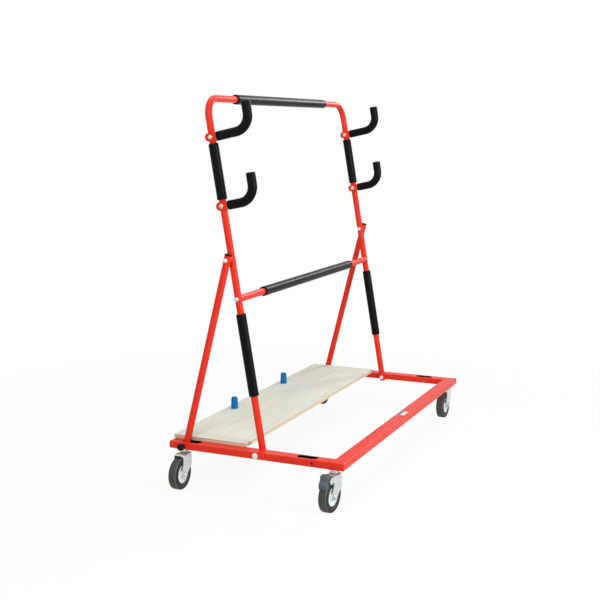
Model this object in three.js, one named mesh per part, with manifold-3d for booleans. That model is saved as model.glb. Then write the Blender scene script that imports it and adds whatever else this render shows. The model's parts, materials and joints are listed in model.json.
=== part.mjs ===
// Sheet goods cart: a rolling base of rectangular tube under a folding A-frame with padded hooks.
// Millimetres, +Z up, the floor at Z = 0. X runs along the cart, +Y points to its back.
import * as THREE from 'three';
import { mergeVertices } from 'three/addons/utils/BufferGeometryUtils.js';
import Module from 'manifold-3d';

const wasm = await Module();
wasm.setup();
const degrees = THREE.MathUtils.degToRad;

// Clearances
const fit = 0.3;          // between two pieces that touch or slide
const weldGap = 0.2;      // half of the seam at a mitred corner
const hubPlay = 0.6;      // wheel hub to fork leg
const over = 1;           // how far a cutter passes the face that it cuts

// Base of rectangular tube: two end rails and a front rail, open at the back
const baseLength = 1200;
const baseDepth = 588;
const railWidth = 44;
const railHeight = 22;
const railWall = 2;
const railCorner = 3;
const endPlate = 2.5;

// Slots in the end rails that take the feet of the braces
const slotLength = 66;
const slotWidth = 25;
const frontSlotSetback = 126;
const slotPastFoot = 15;
const braceInset = 24;
const frontScrewHoleSetback = 102;

// Plywood deck at the back of the base, with two stop pegs
const deckThick = 12;
const deckDepth = 258;
const deckOverhang = 5;
const deckSideInset = 37.6;
const pegSpacing = 404;
const pegFromBack = 29;
const pegDiameter = 25;
const pegHeight = 41;
const pegRound = 6;
const pegTaper = 1.2;
const spigotDiameter = 12;
const spigotLength = 9;

// Folding frame: one bent tube that leans back from a pivot on the end rails
const tubeDiameter = 22;
const tubeWall = 1.8;
const frameLean = degrees(9.7);
const pivotSetback = 290;
const frameLength = 1089;
const frameBend = 60;
const footLength = 13;
const railToUpright = 0.4;
const crossBarAt = 477;
const crossBarPlug = 20;

// Braces, from a bolt on each upright down into the rear slot of the end rail
const braceBoltAt = 600;
const braceFootFromBack = 48;
const bracePastBolt = 15;
const bossDiameter = 18;

// Foam sleeves
const sleeveDiameter = 31;
const sleeveRound = 2.5;
const topBarSleeveLength = 714;
const crossBarSleeveLength = 750;
const lowerSleeveAt = 174;
const lowerSleeveLength = 257;
const sleeveToBracket = 6.5;

// Hooks: a bent rod on a saddle that straddles the upright, with a foam sleeve over the rod
const hookRodDiameter = 16;
const hookSleeveDiameter = 29;
const hookBend = 49;
const hookTilt = degrees(2);
const hookRise = 86;
const upperHookFromTop = 117;
const hookSpacing = 209;
const lowerHookReach = 108;
const upperHookReach = 129;
const saddlePlate = 2.5;
const saddleHeight = 26;
const saddleBack = 18;
const saddleFront = 19;
const hookSleeveTip = 5;

// Fasteners
const boltDiameter = 8;
const boltHeadDiameter = 15;
const boltHeadHeight = 5;
const boltHeadSide = 2.8;
const boltHeadTaper = 0.6;
const boltHeadDome = 3.8;
const pivotHeadDiameter = 19.5;
const nutDiameter = 14;
const nutHeight = 6;

// Clamp screws that hold the feet of the braces
const knobDiameter = 21;
const knobLength = 15;
const knobNeckDiameter = 15;
const knobNeckLength = 4;
const knobLobes = 6;
const knobLobeDepth = 1.5;

// Casters
const casterHeight = 126;
const casterTrail = 31;
const casterFromEnd = 38;
const turnedCaster = 'front_left';
const casterTurn = degrees(-5);
const wheelDiameter = 100;
const tyreWidth = 28;
const tyreRound = 5;
const tyreInnerDiameter = 59;
const rimWidth = 24;
const rimThick = 5;
const webThick = 9;
const hubDiameter = 24;
const forkPlate = 2.5;
const forkToTyre = 2;
const forkFront = 33;
const forkBack = 13;
const axleBossDiameter = 26;
const axleBossFrom = degrees(171);
const axleBossTo = degrees(324);
const crownHeight = 6.7;
const crownCorner = 9;
const crownAboveTyre = 7;
const kingpinDiameter = 12;
const mountFlangeDiameter = 32;
const mountFlangeHeight = 4.5;
const bearingDiameter = 26;
const bearingHeight = 3.5;
const mountNeckDiameter = 21;
const rivetDiameter = 20;
const rivetHeight = 3;

// Brake pedals, hinged on a pin in the ears of the fork
const brakedCasters = ['front_left', 'rear_right'];
const pedalWidth = 24;
const pedalPinDiameter = 6;
const pedalPinBack = 21;
const pedalPinUp = 51;
const pedalToTyre = 2.5;
const pedalRise = 20;
const pedalReach = 26;
const pedalStepBack = 9;
const pedalStepFrom = -3;
const pedalStepTo = 5;
const pedalFoot = -18;
const pedalNose = 3;
const earRadius = 8;
const earFrom = degrees(90);
const earTo = degrees(252);
const shoeFrom = degrees(105);
const shoeTo = degrees(146);

// Facets on round pieces
const tubeSides = 16;
const sleeveSides = 16;
const wheelSides = 24;
const boltSides = 10;
const bendSteps = 6;
const plateSteps = 4;
const pegSteps = 3;
const tyreSteps = 2;
const lobeSteps = 6;
const hexSides = 6;

// Places worked out from the sizes above
const railBottom = casterHeight;
const railTop = railBottom + railHeight;
const railMiddle = railBottom + railHeight / 2;
const halfLength = baseLength / 2;
const frontFace = -baseDepth / 2;
const backEnd = baseDepth / 2;
const tubeRadius = tubeDiameter / 2;
const boreRadius = tubeRadius - tubeWall;
const boltRadius = boltDiameter / 2;
const holeRadius = boltRadius + fit;
const pivotY = frontFace + pivotSetback;
const uprightX = halfLength - railWidth - railToUpright - tubeRadius;
const upperHookAt = frameLength - upperHookFromTop;
const lowerHookAt = upperHookAt - hookSpacing;
const braceX = halfLength - braceInset;
const braceBoltY = pivotY + braceBoltAt * Math.sin(frameLean);
const braceBoltZ = railMiddle + braceBoltAt * Math.cos(frameLean);
const braceFootY = backEnd - braceFootFromBack;
const braceLean = Math.atan2(braceFootY - braceBoltY, braceBoltZ - railTop);
const screwY = braceFootY + (railTop - railMiddle) * Math.tan(braceLean);
const rearSlotY = braceFootY + slotPastFoot - slotLength / 2;
const frontSlotY = frontFace + frontSlotSetback;
const plateBack = backEnd + fit + endPlate;
const deckBack = plateBack + deckOverhang;
const deckLength = baseLength - 2 * deckSideInset;
const wheelRadius = wheelDiameter / 2;
const casterX = halfLength - railWidth / 2;
const casterY = baseDepth / 2 - casterFromEnd;

// Paints and finishes
const finish = (color, roughness, metalness) =>
  new THREE.MeshStandardMaterial({ color, roughness, metalness });
const redPaint = finish(0xe23a2a, 0.35, 0.1);
const foam = finish(0x1a1b19, 0.85, 0);
const plywood = finish(0xd9d5c6, 0.7, 0);
const bluePlastic = finish(0x1675bd, 0.4, 0);
const zinc = finish(0xc6cbc8, 0.35, 0.9);
const wheelGrey = finish(0xd4dad8, 0.5, 0);
const tyreRubber = finish(0x4a4b46, 0.8, 0);
const greyPlastic = finish(0x50585a, 0.55, 0);
const blackPlastic = finish(0x16181a, 0.5, 0);

// Solids: closed three.js geometry in and out of the boolean library
function solidOf(geometry) {
  const bare = geometry.index ? geometry : geometry.clone();
  bare.deleteAttribute('normal');
  bare.deleteAttribute('uv');
  const merged = mergeVertices(bare);
  const corners = merged.index.array;
  const kept = [];
  for (let i = 0; i < corners.length; i += 3) {
    const [a, b, c] = [corners[i], corners[i + 1], corners[i + 2]];
    if (a !== b && b !== c && c !== a) {
      kept.push(a, b, c);
    }
  }
  const mesh = new wasm.Mesh({
    numProp: 3,
    vertProperties: new Float32Array(merged.attributes.position.array),
    triVerts: new Uint32Array(kept),
  });
  return new wasm.Manifold(mesh);
}

function geometryOf(solid) {
  const mesh = solid.getMesh();
  const geometry = new THREE.BufferGeometry();
  geometry.setAttribute('position', new THREE.BufferAttribute(mesh.vertProperties, 3));
  geometry.setIndex(new THREE.BufferAttribute(mesh.triVerts, 1));
  geometry.computeVertexNormals();
  return geometry;
}

const join = (solids) => solids.reduce((whole, piece) => whole.add(piece));
const cut = (solid, cutters) => cutters.reduce((rest, cutter) => rest.subtract(cutter), solid);

function addMesh(group, name, solid, material) {
  const mesh = new THREE.Mesh(geometryOf(solid), material);
  mesh.name = name;
  group.add(mesh);
  return mesh;
}

// A round hole of n sides clears a round piece of the given radius all the way round
const clearOf = (radius, sides) => (radius + fit) / Math.cos(Math.PI / sides);

// Cylinders, by the axis that they lie along, from one end to the other
const turnTo = {
  x: new THREE.Matrix4().makeRotationZ(-Math.PI / 2),
  y: new THREE.Matrix4(),
  z: new THREE.Matrix4().makeRotationX(Math.PI / 2),
};
const point = { x: (v) => [v, 0, 0], y: (v) => [0, v, 0], z: (v) => [0, 0, v] };

function rod(axis, radius, from, to, at = [0, 0, 0], sides = boltSides) {
  const geometry = new THREE.CylinderGeometry(radius, radius, Math.abs(to - from), sides);
  geometry.applyMatrix4(turnTo[axis]);
  geometry.translate(...point[axis]((from + to) / 2));
  geometry.translate(...at);
  return solidOf(geometry);
}

function block(size, centre) {
  return solidOf(new THREE.BoxGeometry(...size).translate(...centre));
}

// A turned piece from its half profile, given as radius and height, from its low end to its high end
function turned(axis, profile, sides, phase = 0) {
  const points = profile.map(([radius, height]) => new THREE.Vector2(radius, height));
  return solidOf(new THREE.LatheGeometry(points, sides, phase, 2 * Math.PI).applyMatrix4(turnTo[axis]));
}

// A path of straight runs and round bends, with one step on each run and a few on each bend
class PipePath extends THREE.Curve {
  constructor(corners, bend) {
    super();
    this.stations = [corners[0]];
    for (let i = 1; i < corners.length - 1; i += 1) {
      this.addBend(corners[i - 1], corners[i], corners[i + 1], bend);
    }
    this.stations.push(corners.at(-1));
    this.steps = this.stations.length - 1;
  }

  addBend(before, corner, after, bend) {
    const toBefore = before.clone().sub(corner).normalize();
    const toAfter = after.clone().sub(corner).normalize();
    const half = toBefore.angleTo(toAfter) / 2;
    const middle = toBefore.clone().add(toAfter).normalize();
    const centre = corner.clone().addScaledVector(middle, bend / Math.sin(half));
    const start = corner.clone().addScaledVector(toBefore, bend / Math.tan(half)).sub(centre);
    const axis = toAfter.clone().cross(toBefore).normalize();
    const sweep = Math.PI - 2 * half;
    for (let step = 0; step <= bendSteps; step += 1) {
      this.stations.push(start.clone().applyAxisAngle(axis, (sweep * step) / bendSteps).add(centre));
    }
  }

  getPoint(t, target = new THREE.Vector3()) {
    const place = Math.min(Math.max(t, 0), 1) * this.steps;
    const index = Math.min(Math.floor(place), this.steps - 1);
    return target.lerpVectors(this.stations[index], this.stations[index + 1], place - index);
  }

  getUtoTmapping(u) {
    return u;
  }
}

function bar(path, radius, sides) {
  const section = new THREE.Shape().absarc(0, 0, radius, 0, 2 * Math.PI);
  const settings = { steps: path.steps, curveSegments: sides / 2, extrudePath: path, bevelEnabled: false };
  return solidOf(new THREE.ExtrudeGeometry(section, settings));
}

// A rounded rectangle, for the section of the rails
function roundedRectangle(Outline, width, height, radius) {
  const outline = new Outline();
  const x = width / 2 - radius;
  const y = height / 2 - radius;
  outline.absarc(x, y, radius, 0, Math.PI / 2);
  outline.absarc(-x, y, radius, Math.PI / 2, Math.PI);
  outline.absarc(-x, -y, radius, Math.PI, 1.5 * Math.PI);
  outline.absarc(x, -y, radius, 1.5 * Math.PI, 2 * Math.PI);
  outline.closePath();
  return outline;
}

function extruded(shape, depth, segments = 2) {
  return new THREE.ExtrudeGeometry(shape, { depth, curveSegments: segments, bevelEnabled: false });
}

function railTube(length) {
  const section = roundedRectangle(THREE.Shape, railWidth, railHeight, railCorner);
  const innerCorner = Math.max(railCorner - railWall, railWall / 2);
  const inside = [railWidth - 2 * railWall, railHeight - 2 * railWall, innerCorner];
  section.holes.push(roundedRectangle(THREE.Path, ...inside));
  return extruded(section, length).translate(0, 0, -length / 2);
}

// Base rails
// The triangle in plan that a mitred corner takes off the end rail or off the front rail
function mitreWedge(side, fromFrontRail) {
  const outerX = side * halfLength;
  const reach = 2 * railWidth;
  const shift = fromFrontRail ? -weldGap : weldGap;
  const near = [outerX + side * over, frontFace - over + shift];
  const far = [outerX - side * reach, frontFace + reach + shift];
  const third = fromFrontRail ? [near[0], far[1]] : [far[0], near[1]];
  const plan = new THREE.Shape([near, far, third].map(([x, y]) => new THREE.Vector2(x, y)));
  return solidOf(extruded(plan, railHeight + 2 * over).translate(0, 0, railBottom - over));
}

function slotCutter(x, y) {
  const slot = new THREE.Shape();
  const radius = slotWidth / 2;
  const straight = slotLength / 2 - radius;
  slot.absarc(0, straight, radius, 0, Math.PI);
  slot.absarc(0, -straight, radius, Math.PI, 2 * Math.PI);
  slot.closePath();
  const cutter = extruded(slot, railWall + 2 * over, tubeSides / 4);
  return solidOf(cutter.translate(x, y, railTop - railWall - over));
}

function endRail(side) {
  const tube = railTube(baseDepth).rotateX(Math.PI / 2).translate(side * casterX, 0, railMiddle);
  const outer = side * halfLength;
  const inner = side * (halfLength - railWidth);
  const skin = (x, reach) => [x - side * reach, x + side * over];
  const screwHoles = [screwY, frontFace + frontScrewHoleSetback].map((y) =>
    rod('x', holeRadius, ...skin(outer, railWall + over), [0, y, railMiddle]));
  const stemHoles = [casterY, -casterY].map((y) =>
    rod('z', kingpinDiameter / 2 + fit, railBottom - over, railBottom + railWall + over,
      [side * casterX, y, 0]));
  const through = [inner - side * over, outer + side * over];
  const pivotHole = rod('x', holeRadius, ...through, [0, pivotY, railMiddle]);
  const slots = [rearSlotY, frontSlotY].map((y) => slotCutter(side * braceX, y));
  return cut(solidOf(tube), [mitreWedge(side, false), pivotHole, ...screwHoles, ...stemHoles, ...slots]);
}

function frontRail() {
  const alongX = new THREE.Matrix4().makeBasis(
    new THREE.Vector3(0, 1, 0), new THREE.Vector3(0, 0, 1), new THREE.Vector3(1, 0, 0));
  const tube = railTube(baseLength).applyMatrix4(alongX);
  tube.translate(0, frontFace + railWidth / 2, railMiddle);
  return cut(solidOf(tube), [mitreWedge(-1, true), mitreWedge(1, true)]);
}

function railEndPlate(side) {
  const outline = roundedRectangle(THREE.Shape, railWidth, railHeight, railCorner);
  const plate = extruded(outline, endPlate).rotateX(Math.PI / 2);
  return solidOf(plate.translate(side * casterX, plateBack, railMiddle));
}

// Deck and stop pegs
const deckBottom = railTop + fit;
const deckTop = deckBottom + deckThick;
const pegY = deckBack - pegFromBack;

function deck() {
  const board = block([deckLength, deckDepth, deckThick],
    [0, deckBack - deckDepth / 2, deckBottom + deckThick / 2]);
  const holes = [-1, 1].map((side) =>
    rod('z', spigotDiameter / 2 + fit, deckBottom - over, deckTop + over,
      [side * pegSpacing / 2, pegY, 0]));
  return cut(board, holes);
}

function stopPeg() {
  const foot = pegDiameter / 2;
  const top = foot - pegTaper;
  const spigot = spigotDiameter / 2;
  const profile = [[0, -spigotLength], [spigot, -spigotLength], [spigot, fit], [foot, fit]];
  for (let step = 0; step <= pegSteps; step += 1) {
    const angle = (Math.PI / 2) * (step / pegSteps);
    profile.push([top - pegRound * (1 - Math.cos(angle)), pegHeight - pegRound * (1 - Math.sin(angle))]);
  }
  profile.push([0, pegHeight]);
  return turned('z', profile, sleeveSides);
}

// Fasteners: a bolt along X with its head at the outer end and its nut at the inner end
function boltBetween(outerX, innerX, headDiameter, nutted) {
  const side = Math.sign(outerX);
  const head = outerX + side * fit;
  const headTop = head + side * boltHeadHeight;
  const tip = nutted ? innerX - side * (fit + nutHeight) : innerX;
  const edge = headDiameter / 2;
  const profile = [[0, Math.abs(tip)]];
  if (nutted) {
    profile.push([nutDiameter / 2, Math.abs(tip)], [nutDiameter / 2, Math.abs(innerX) - fit]);
    profile.push([boltRadius, Math.abs(innerX) - fit]);
  } else {
    profile.push([boltRadius, Math.abs(tip)]);
  }
  profile.push([boltRadius, Math.abs(head)], [edge, Math.abs(head)]);
  profile.push([edge - boltHeadTaper, Math.abs(head) + boltHeadSide]);
  profile.push([edge - boltHeadDome, Math.abs(headTop)]);
  profile.push([0, Math.abs(headTop)]);
  const points = profile.map(([radius, x]) => new THREE.Vector2(radius, x));
  const turn = new THREE.Matrix4().makeRotationZ((-side * Math.PI) / 2);
  return solidOf(new THREE.LatheGeometry(points, boltSides).applyMatrix4(turn));
}

// Folding frame, in its own frame: the pivot at the origin and the uprights along +Z
const corner = (x, z) => new THREE.Vector3(x, 0, z);
const tubeCorners = (bottom) => [
  corner(-uprightX, bottom), corner(-uprightX, frameLength),
  corner(uprightX, frameLength), corner(uprightX, bottom)];

function uprightFrame() {
  const outside = bar(new PipePath(tubeCorners(-footLength), frameBend), tubeRadius, tubeSides);
  const inside = bar(new PipePath(tubeCorners(-footLength - over), frameBend), boreRadius, tubeSides);
  const holes = [];
  for (const side of [-1, 1]) {
    for (const height of [0, crossBarAt, braceBoltAt, lowerHookAt, upperHookAt]) {
      const ends = [side * (uprightX - tubeDiameter), side * (uprightX + tubeDiameter)];
      holes.push(rod('x', holeRadius, ...ends, [0, 0, height]));
    }
  }
  return cut(outside, [inside, ...holes]);
}

function crossBar() {
  const outside = rod('x', tubeRadius, -uprightX, uprightX, [0, 0, crossBarAt], tubeSides);
  const boreEnd = uprightX - tubeRadius - crossBarPlug;
  const inside = rod('x', boreRadius, -boreEnd, boreEnd, [0, 0, crossBarAt], tubeSides);
  const bolts = rod('x', holeRadius, -uprightX, uprightX, [0, 0, crossBarAt]);
  const copes = [-1, 1].map((side) =>
    rod('z', clearOf(tubeRadius, tubeSides), crossBarAt - tubeDiameter, crossBarAt + tubeDiameter,
      [side * uprightX, 0, 0], tubeSides));
  return cut(outside, [inside, bolts, ...copes]);
}

function sleeve(axis, from, to, at) {
  const outer = sleeveDiameter / 2;
  const bore = clearOf(tubeRadius, sleeveSides);
  const soft = outer - sleeveRound;
  const profile = [[bore, from], [soft, from], [outer, from + sleeveRound],
    [outer, to - sleeveRound], [soft, to], [bore, to], [bore, from]];
  return turned(axis, profile, sleeveSides).translate(at);
}

// Hooks, with the bolt at the origin, the upright along Z and the arm along -Y
function hookPath(reach, start, tip) {
  const slope = Math.tan(hookTilt);
  const armPoint = (forward) => new THREE.Vector3(0, -forward, (forward - saddleFront) * slope);
  return new PipePath([armPoint(start), armPoint(reach), new THREE.Vector3(0, -reach, tip)], hookBend);
}

function hookSaddle() {
  const inside = tubeDiameter + 2 * fit;
  const width = inside + 2 * saddlePlate;
  const radius = saddleHeight / 2;
  const side = new THREE.Shape();
  side.absarc(saddleBack - radius, 0, radius, -Math.PI / 2, Math.PI / 2);
  side.lineTo(-saddleFront, radius);
  side.lineTo(-saddleFront, -radius);
  side.closePath();
  const across = new THREE.Matrix4().makeBasis(
    new THREE.Vector3(0, 1, 0), new THREE.Vector3(0, 0, 1), new THREE.Vector3(1, 0, 0));
  const cheeks = solidOf(extruded(side, width, plateSteps).translate(0, 0, -width / 2).applyMatrix4(across));
  const throatFront = saddleFront - saddlePlate;
  const throat = block([inside, throatFront + saddleBack + over, saddleHeight + 2 * over],
    [0, (saddleBack + over - throatFront) / 2, 0]);
  return cheeks.subtract(throat);
}

const hookRoot = saddleFront - saddlePlate / 2;

function hook(reach) {
  const arm = bar(hookPath(reach, hookRoot, hookRise - hookSleeveTip), hookRodDiameter / 2, boltSides);
  const hole = rod('x', holeRadius, -tubeDiameter, tubeDiameter);
  return join([hookSaddle(), arm]).subtract(hole);
}

function hookSleeve(reach) {
  const radius = hookSleeveDiameter / 2;
  const start = saddleFront + fit + radius * Math.sin(hookTilt);
  const skin = bar(hookPath(reach, start, hookRise), radius, tubeSides);
  const boreEnd = hookRise - hookSleeveTip + fit;
  const boreSize = clearOf(hookRodDiameter / 2, boltSides);
  return skin.subtract(bar(hookPath(reach, hookRoot, boreEnd), boreSize, boltSides));
}

// Braces, with the bolt at the origin and the tube along Z
function brace(side) {
  const footLevel = railBottom + railWall + fit - braceBoltZ;
  const length = -footLevel / Math.cos(braceLean) + tubeDiameter;
  const outside = rod('z', tubeRadius, -length, bracePastBolt, [0, 0, 0], tubeSides);
  const bossEnd = braceX - uprightX - tubeRadius - fit;
  const boss = rod('x', bossDiameter / 2, 0, -side * bossEnd, [0, 0, 0], tubeSides);
  const inside = rod('z', boreRadius, -length - over, bracePastBolt + over, [0, 0, 0], tubeSides);
  const hole = rod('x', holeRadius, -side * (bossEnd + over), side * tubeDiameter);
  const below = new THREE.BoxGeometry(length, length, length);
  below.translate(0, length * Math.sin(braceLean), footLevel - length / 2).rotateX(-braceLean);
  return cut(join([outside, boss]), [inside, hole, solidOf(below)]);
}

// Clamp screws: a lobed knob outside the rail, and a screw whose tip meets the foot of the brace
function clampKnob(side) {
  const faceAt = fit + knobNeckLength;
  const grip = new THREE.Shape();
  const steps = knobLobes * lobeSteps;
  const middle = knobDiameter / 2 - knobLobeDepth / 2;
  for (let step = 0; step < steps; step += 1) {
    const angle = (2 * Math.PI * step) / steps;
    const radius = middle + (knobLobeDepth / 2) * Math.cos(knobLobes * angle);
    const at = [radius * Math.cos(angle), radius * Math.sin(angle)];
    grip[step === 0 ? 'moveTo' : 'lineTo'](...at);
  }
  grip.closePath();
  const head = extruded(grip, knobLength).translate(0, 0, faceAt).rotateY((side * Math.PI) / 2);
  const tip = braceInset - tubeRadius - fit;
  const neck = rod('x', knobNeckDiameter / 2, side * fit, side * (faceAt + over));
  const screw = rod('x', boltRadius, -side * tip, side * (faceAt + over));
  return join([solidOf(head), neck, screw]);
}

// Casters, with the kingpin on Z and the wheel trailing towards -X
const axleZ = wheelRadius;
const crownBottom = wheelDiameter + crownAboveTyre;
const crownTop = crownBottom + crownHeight;
const legInside = tyreWidth / 2 + forkToTyre;
const legOutside = legInside + forkPlate;

function casterMount() {
  const pin = kingpinDiameter / 2;
  const flangeTop = casterHeight - fit;
  const stemTop = railBottom + railWall;
  const bearingBottom = crownTop + fit;
  const rivetTop = crownBottom - fit;
  const rivetBottom = rivetTop - rivetHeight;
  const bearingTop = bearingBottom + bearingHeight;
  const flangeBottom = flangeTop - mountFlangeHeight;
  const rivet = rivetDiameter / 2;
  const bearing = bearingDiameter / 2;
  const neck = mountNeckDiameter / 2;
  const flange = mountFlangeDiameter / 2;
  return turned('z', [
    [0, rivetBottom], [rivet, rivetBottom], [rivet, rivetTop], [pin, rivetTop],
    [pin, bearingBottom], [bearing, bearingBottom], [bearing, bearingTop], [neck, bearingTop],
    [neck, flangeBottom], [flange, flangeBottom], [flange, flangeTop], [pin, flangeTop],
    [pin, stemTop], [0, stemTop]], sleeveSides);
}

function casterFork(braked) {
  const plan = roundedRectangle(THREE.Shape, forkFront + forkBack, 2 * legOutside, crownCorner);
  const crownPlate = extruded(plan, crownHeight, plateSteps);
  const crown = solidOf(crownPlate.translate((forkBack - forkFront) / 2, 0, crownBottom));
  const pinBore = clearOf(kingpinDiameter / 2, sleeveSides);
  const boss = axleBossDiameter / 2;
  const legTop = crownTop - forkPlate;
  const leg = new THREE.Shape();
  leg.moveTo(forkBack, legTop);
  leg.lineTo(-forkFront, legTop);
  if (braked) {
    leg.absarc(-casterTrail - pedalPinBack, axleZ + pedalPinUp, earRadius, earFrom, earTo);
  }
  leg.lineTo(-forkFront - forkPlate, wheelDiameter - 2 * forkPlate);
  leg.absarc(-casterTrail, axleZ, boss, axleBossFrom, axleBossTo);
  leg.lineTo(forkBack, axleZ + boss + earRadius);
  leg.closePath();
  const plates = [legInside, -legOutside].map((y) =>
    solidOf(extruded(leg, forkPlate, plateSteps).rotateX(Math.PI / 2).translate(0, y + forkPlate, 0)));
  const ends = [-legOutside - over, legOutside + over];
  const holes = [rod('y', holeRadius, ...ends, [-casterTrail, 0, axleZ])];
  holes.push(rod('z', pinBore, crownBottom - over, crownTop + over, [0, 0, 0], sleeveSides));
  if (braked) {
    const pinAt = [-casterTrail - pedalPinBack, 0, axleZ + pedalPinUp];
    holes.push(rod('y', pedalPinDiameter / 2 + fit, ...ends, pinAt));
  }
  return cut(join([crown, ...plates]), holes);
}

function casterAxle() {
  const seat = legOutside + fit;
  const parts = [rod('y', boltRadius, -seat - boltHeadHeight, seat + nutHeight)];
  parts.push(rod('y', boltHeadDiameter / 2, -seat - boltHeadHeight, -seat, [0, 0, 0], hexSides));
  parts.push(rod('y', nutDiameter / 2, seat, seat + nutHeight, [0, 0, 0], hexSides));
  return join(parts);
}

// Wheel pieces have a flat facet at the bottom, so each radius is taken to the middle of a facet
const flatDown = Math.PI / wheelSides;
const acrossFlats = (radius) => radius / Math.cos(flatDown);

function casterWheel() {
  const bore = clearOf(boltRadius, wheelSides);
  const hub = acrossFlats(hubDiameter / 2);
  const rim = acrossFlats(tyreInnerDiameter / 2 - fit);
  const rimInside = rim - rimThick;
  const hubHalf = legInside - hubPlay;
  const web = webThick / 2;
  return turned('y', [[bore, -hubHalf], [hub, -hubHalf], [hub, -web], [rimInside, -web],
    [rimInside, -rimWidth / 2], [rim, -rimWidth / 2], [rim, rimWidth / 2], [rimInside, rimWidth / 2],
    [rimInside, web], [hub, web], [hub, hubHalf], [bore, hubHalf], [bore, -hubHalf]], wheelSides, flatDown);
}

function casterTyre() {
  const inner = acrossFlats(tyreInnerDiameter / 2);
  const outer = acrossFlats(wheelRadius);
  const half = tyreWidth / 2;
  const profile = [[inner, -half + tyreRound / 2], [inner + tyreRound, -half]];
  for (const end of [-1, 1]) {
    for (let step = 0; step <= tyreSteps; step += 1) {
      const angle = (Math.PI / 2) * ((end < 0 ? step : tyreSteps - step) / tyreSteps);
      const inset = tyreRound * (1 - Math.cos(angle));
      profile.push([outer - tyreRound * (1 - Math.sin(angle)), end * (half - inset)]);
    }
  }
  profile.push([inner + tyreRound, half], [inner, half - tyreRound / 2], profile[0]);
  return turned('y', profile, wheelSides, flatDown);
}

// Brake pedal, with its pin at the origin: a shoe that follows the tyre under a stepped foot plate
function brakePedal() {
  const centre = [pedalPinBack, -pedalPinUp];
  const shoe = acrossFlats(wheelRadius) + pedalToTyre;
  const pedal = new THREE.Shape();
  pedal.absarc(...centre, shoe, shoeFrom, shoeTo);
  pedal.lineTo(-pedalReach, pedalFoot);
  pedal.lineTo(-pedalReach, pedalStepFrom);
  pedal.lineTo(pedalStepBack - pedalReach, pedalStepTo);
  pedal.lineTo(pedalStepBack - pedalReach, pedalRise);
  pedal.lineTo(pedalNose, pedalRise);
  pedal.closePath();
  const plate = extruded(pedal, pedalWidth, plateSteps).translate(0, 0, -pedalWidth / 2).rotateX(Math.PI / 2);
  const pinEnd = legOutside + fit;
  const pin = rod('y', pedalPinDiameter / 2, -pinEnd, pinEnd);
  return join([solidOf(plate), pin]);
}

// Assembly
const cart = new THREE.Group();

const sides = [['left', -1], ['right', 1]];

addMesh(cart, 'front_rail', frontRail(), redPaint);
addMesh(cart, 'deck', deck(), plywood);
for (const [name, side] of sides) {
  addMesh(cart, `${name}_rail`, endRail(side), redPaint);
  addMesh(cart, `${name}_rail_end_plate`, railEndPlate(side), redPaint);
  const peg = addMesh(cart, `${name}_stop_peg`, stopPeg(), bluePlastic);
  peg.position.set(side * pegSpacing / 2, pegY, deckTop);
  const pivotBolt = boltBetween(side * halfLength, side * (uprightX - tubeRadius), pivotHeadDiameter, true);
  addMesh(cart, `${name}_pivot_bolt`, pivotBolt, zinc).position.set(0, pivotY, railMiddle);
  const knob = addMesh(cart, `${name}_clamp_knob`, clampKnob(side), blackPlastic);
  knob.position.set(side * halfLength, screwY, railMiddle);
}

const frame = new THREE.Group();
frame.position.set(0, pivotY, railMiddle);
frame.rotation.x = -frameLean;
cart.add(frame);
addMesh(frame, 'upright_frame', uprightFrame(), redPaint);
addMesh(frame, 'cross_bar', crossBar(), redPaint);
const barSleeves = [
  ['top_bar', topBarSleeveLength, frameLength],
  ['cross_bar', crossBarSleeveLength, crossBarAt],
];
for (const [name, length, height] of barSleeves) {
  addMesh(frame, `${name}_sleeve`, sleeve('x', -length / 2, length / 2, [0, 0, height]), foam);
}
const sleeveFromHook = saddleHeight / 2 + sleeveToBracket;
const upperSleeve = [lowerHookAt + sleeveFromHook, upperHookAt - sleeveFromHook];
const lowerSleeve = [lowerSleeveAt, lowerSleeveAt + lowerSleeveLength];
const hookLevels = [['lower', lowerHookAt, lowerHookReach], ['upper', upperHookAt, upperHookReach]];
for (const [name, side] of sides) {
  const upright = [side * uprightX, 0, 0];
  addMesh(frame, `${name}_upper_sleeve`, sleeve('z', ...upperSleeve, upright), foam);
  addMesh(frame, `${name}_lower_sleeve`, sleeve('z', ...lowerSleeve, upright), foam);
  for (const [level, height, reach] of hookLevels) {
    const place = [side * uprightX, 0, height];
    addMesh(frame, `${name}_${level}_hook`, hook(reach), redPaint).position.set(...place);
    addMesh(frame, `${name}_${level}_hook_sleeve`, hookSleeve(reach), foam).position.set(...place);
    const cheek = tubeRadius + fit + saddlePlate;
    const grip = [side * (uprightX + cheek), side * (uprightX - cheek)];
    const hookBolt = boltBetween(...grip, boltHeadDiameter, true);
    addMesh(frame, `${name}_${level}_hook_bolt`, hookBolt, zinc).position.z = height;
  }
  const barBoltEnd = side * (uprightX - tubeRadius - crossBarPlug);
  const barBolt = boltBetween(side * (uprightX + tubeRadius), barBoltEnd, boltHeadDiameter, false);
  addMesh(frame, `${name}_cross_bar_bolt`, barBolt, zinc).position.z = crossBarAt;
  const braceGrip = [side * (braceX + tubeRadius), side * (uprightX - tubeRadius)];
  const braceBolt = boltBetween(...braceGrip, boltHeadDiameter, true);
  addMesh(frame, `${name}_brace_bolt`, braceBolt, zinc).position.z = braceBoltAt;
  const braceMesh = addMesh(cart, `${name}_brace`, brace(side), redPaint);
  braceMesh.position.set(side * braceX, braceBoltY, braceBoltZ);
  braceMesh.rotation.x = braceLean;
}

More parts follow.
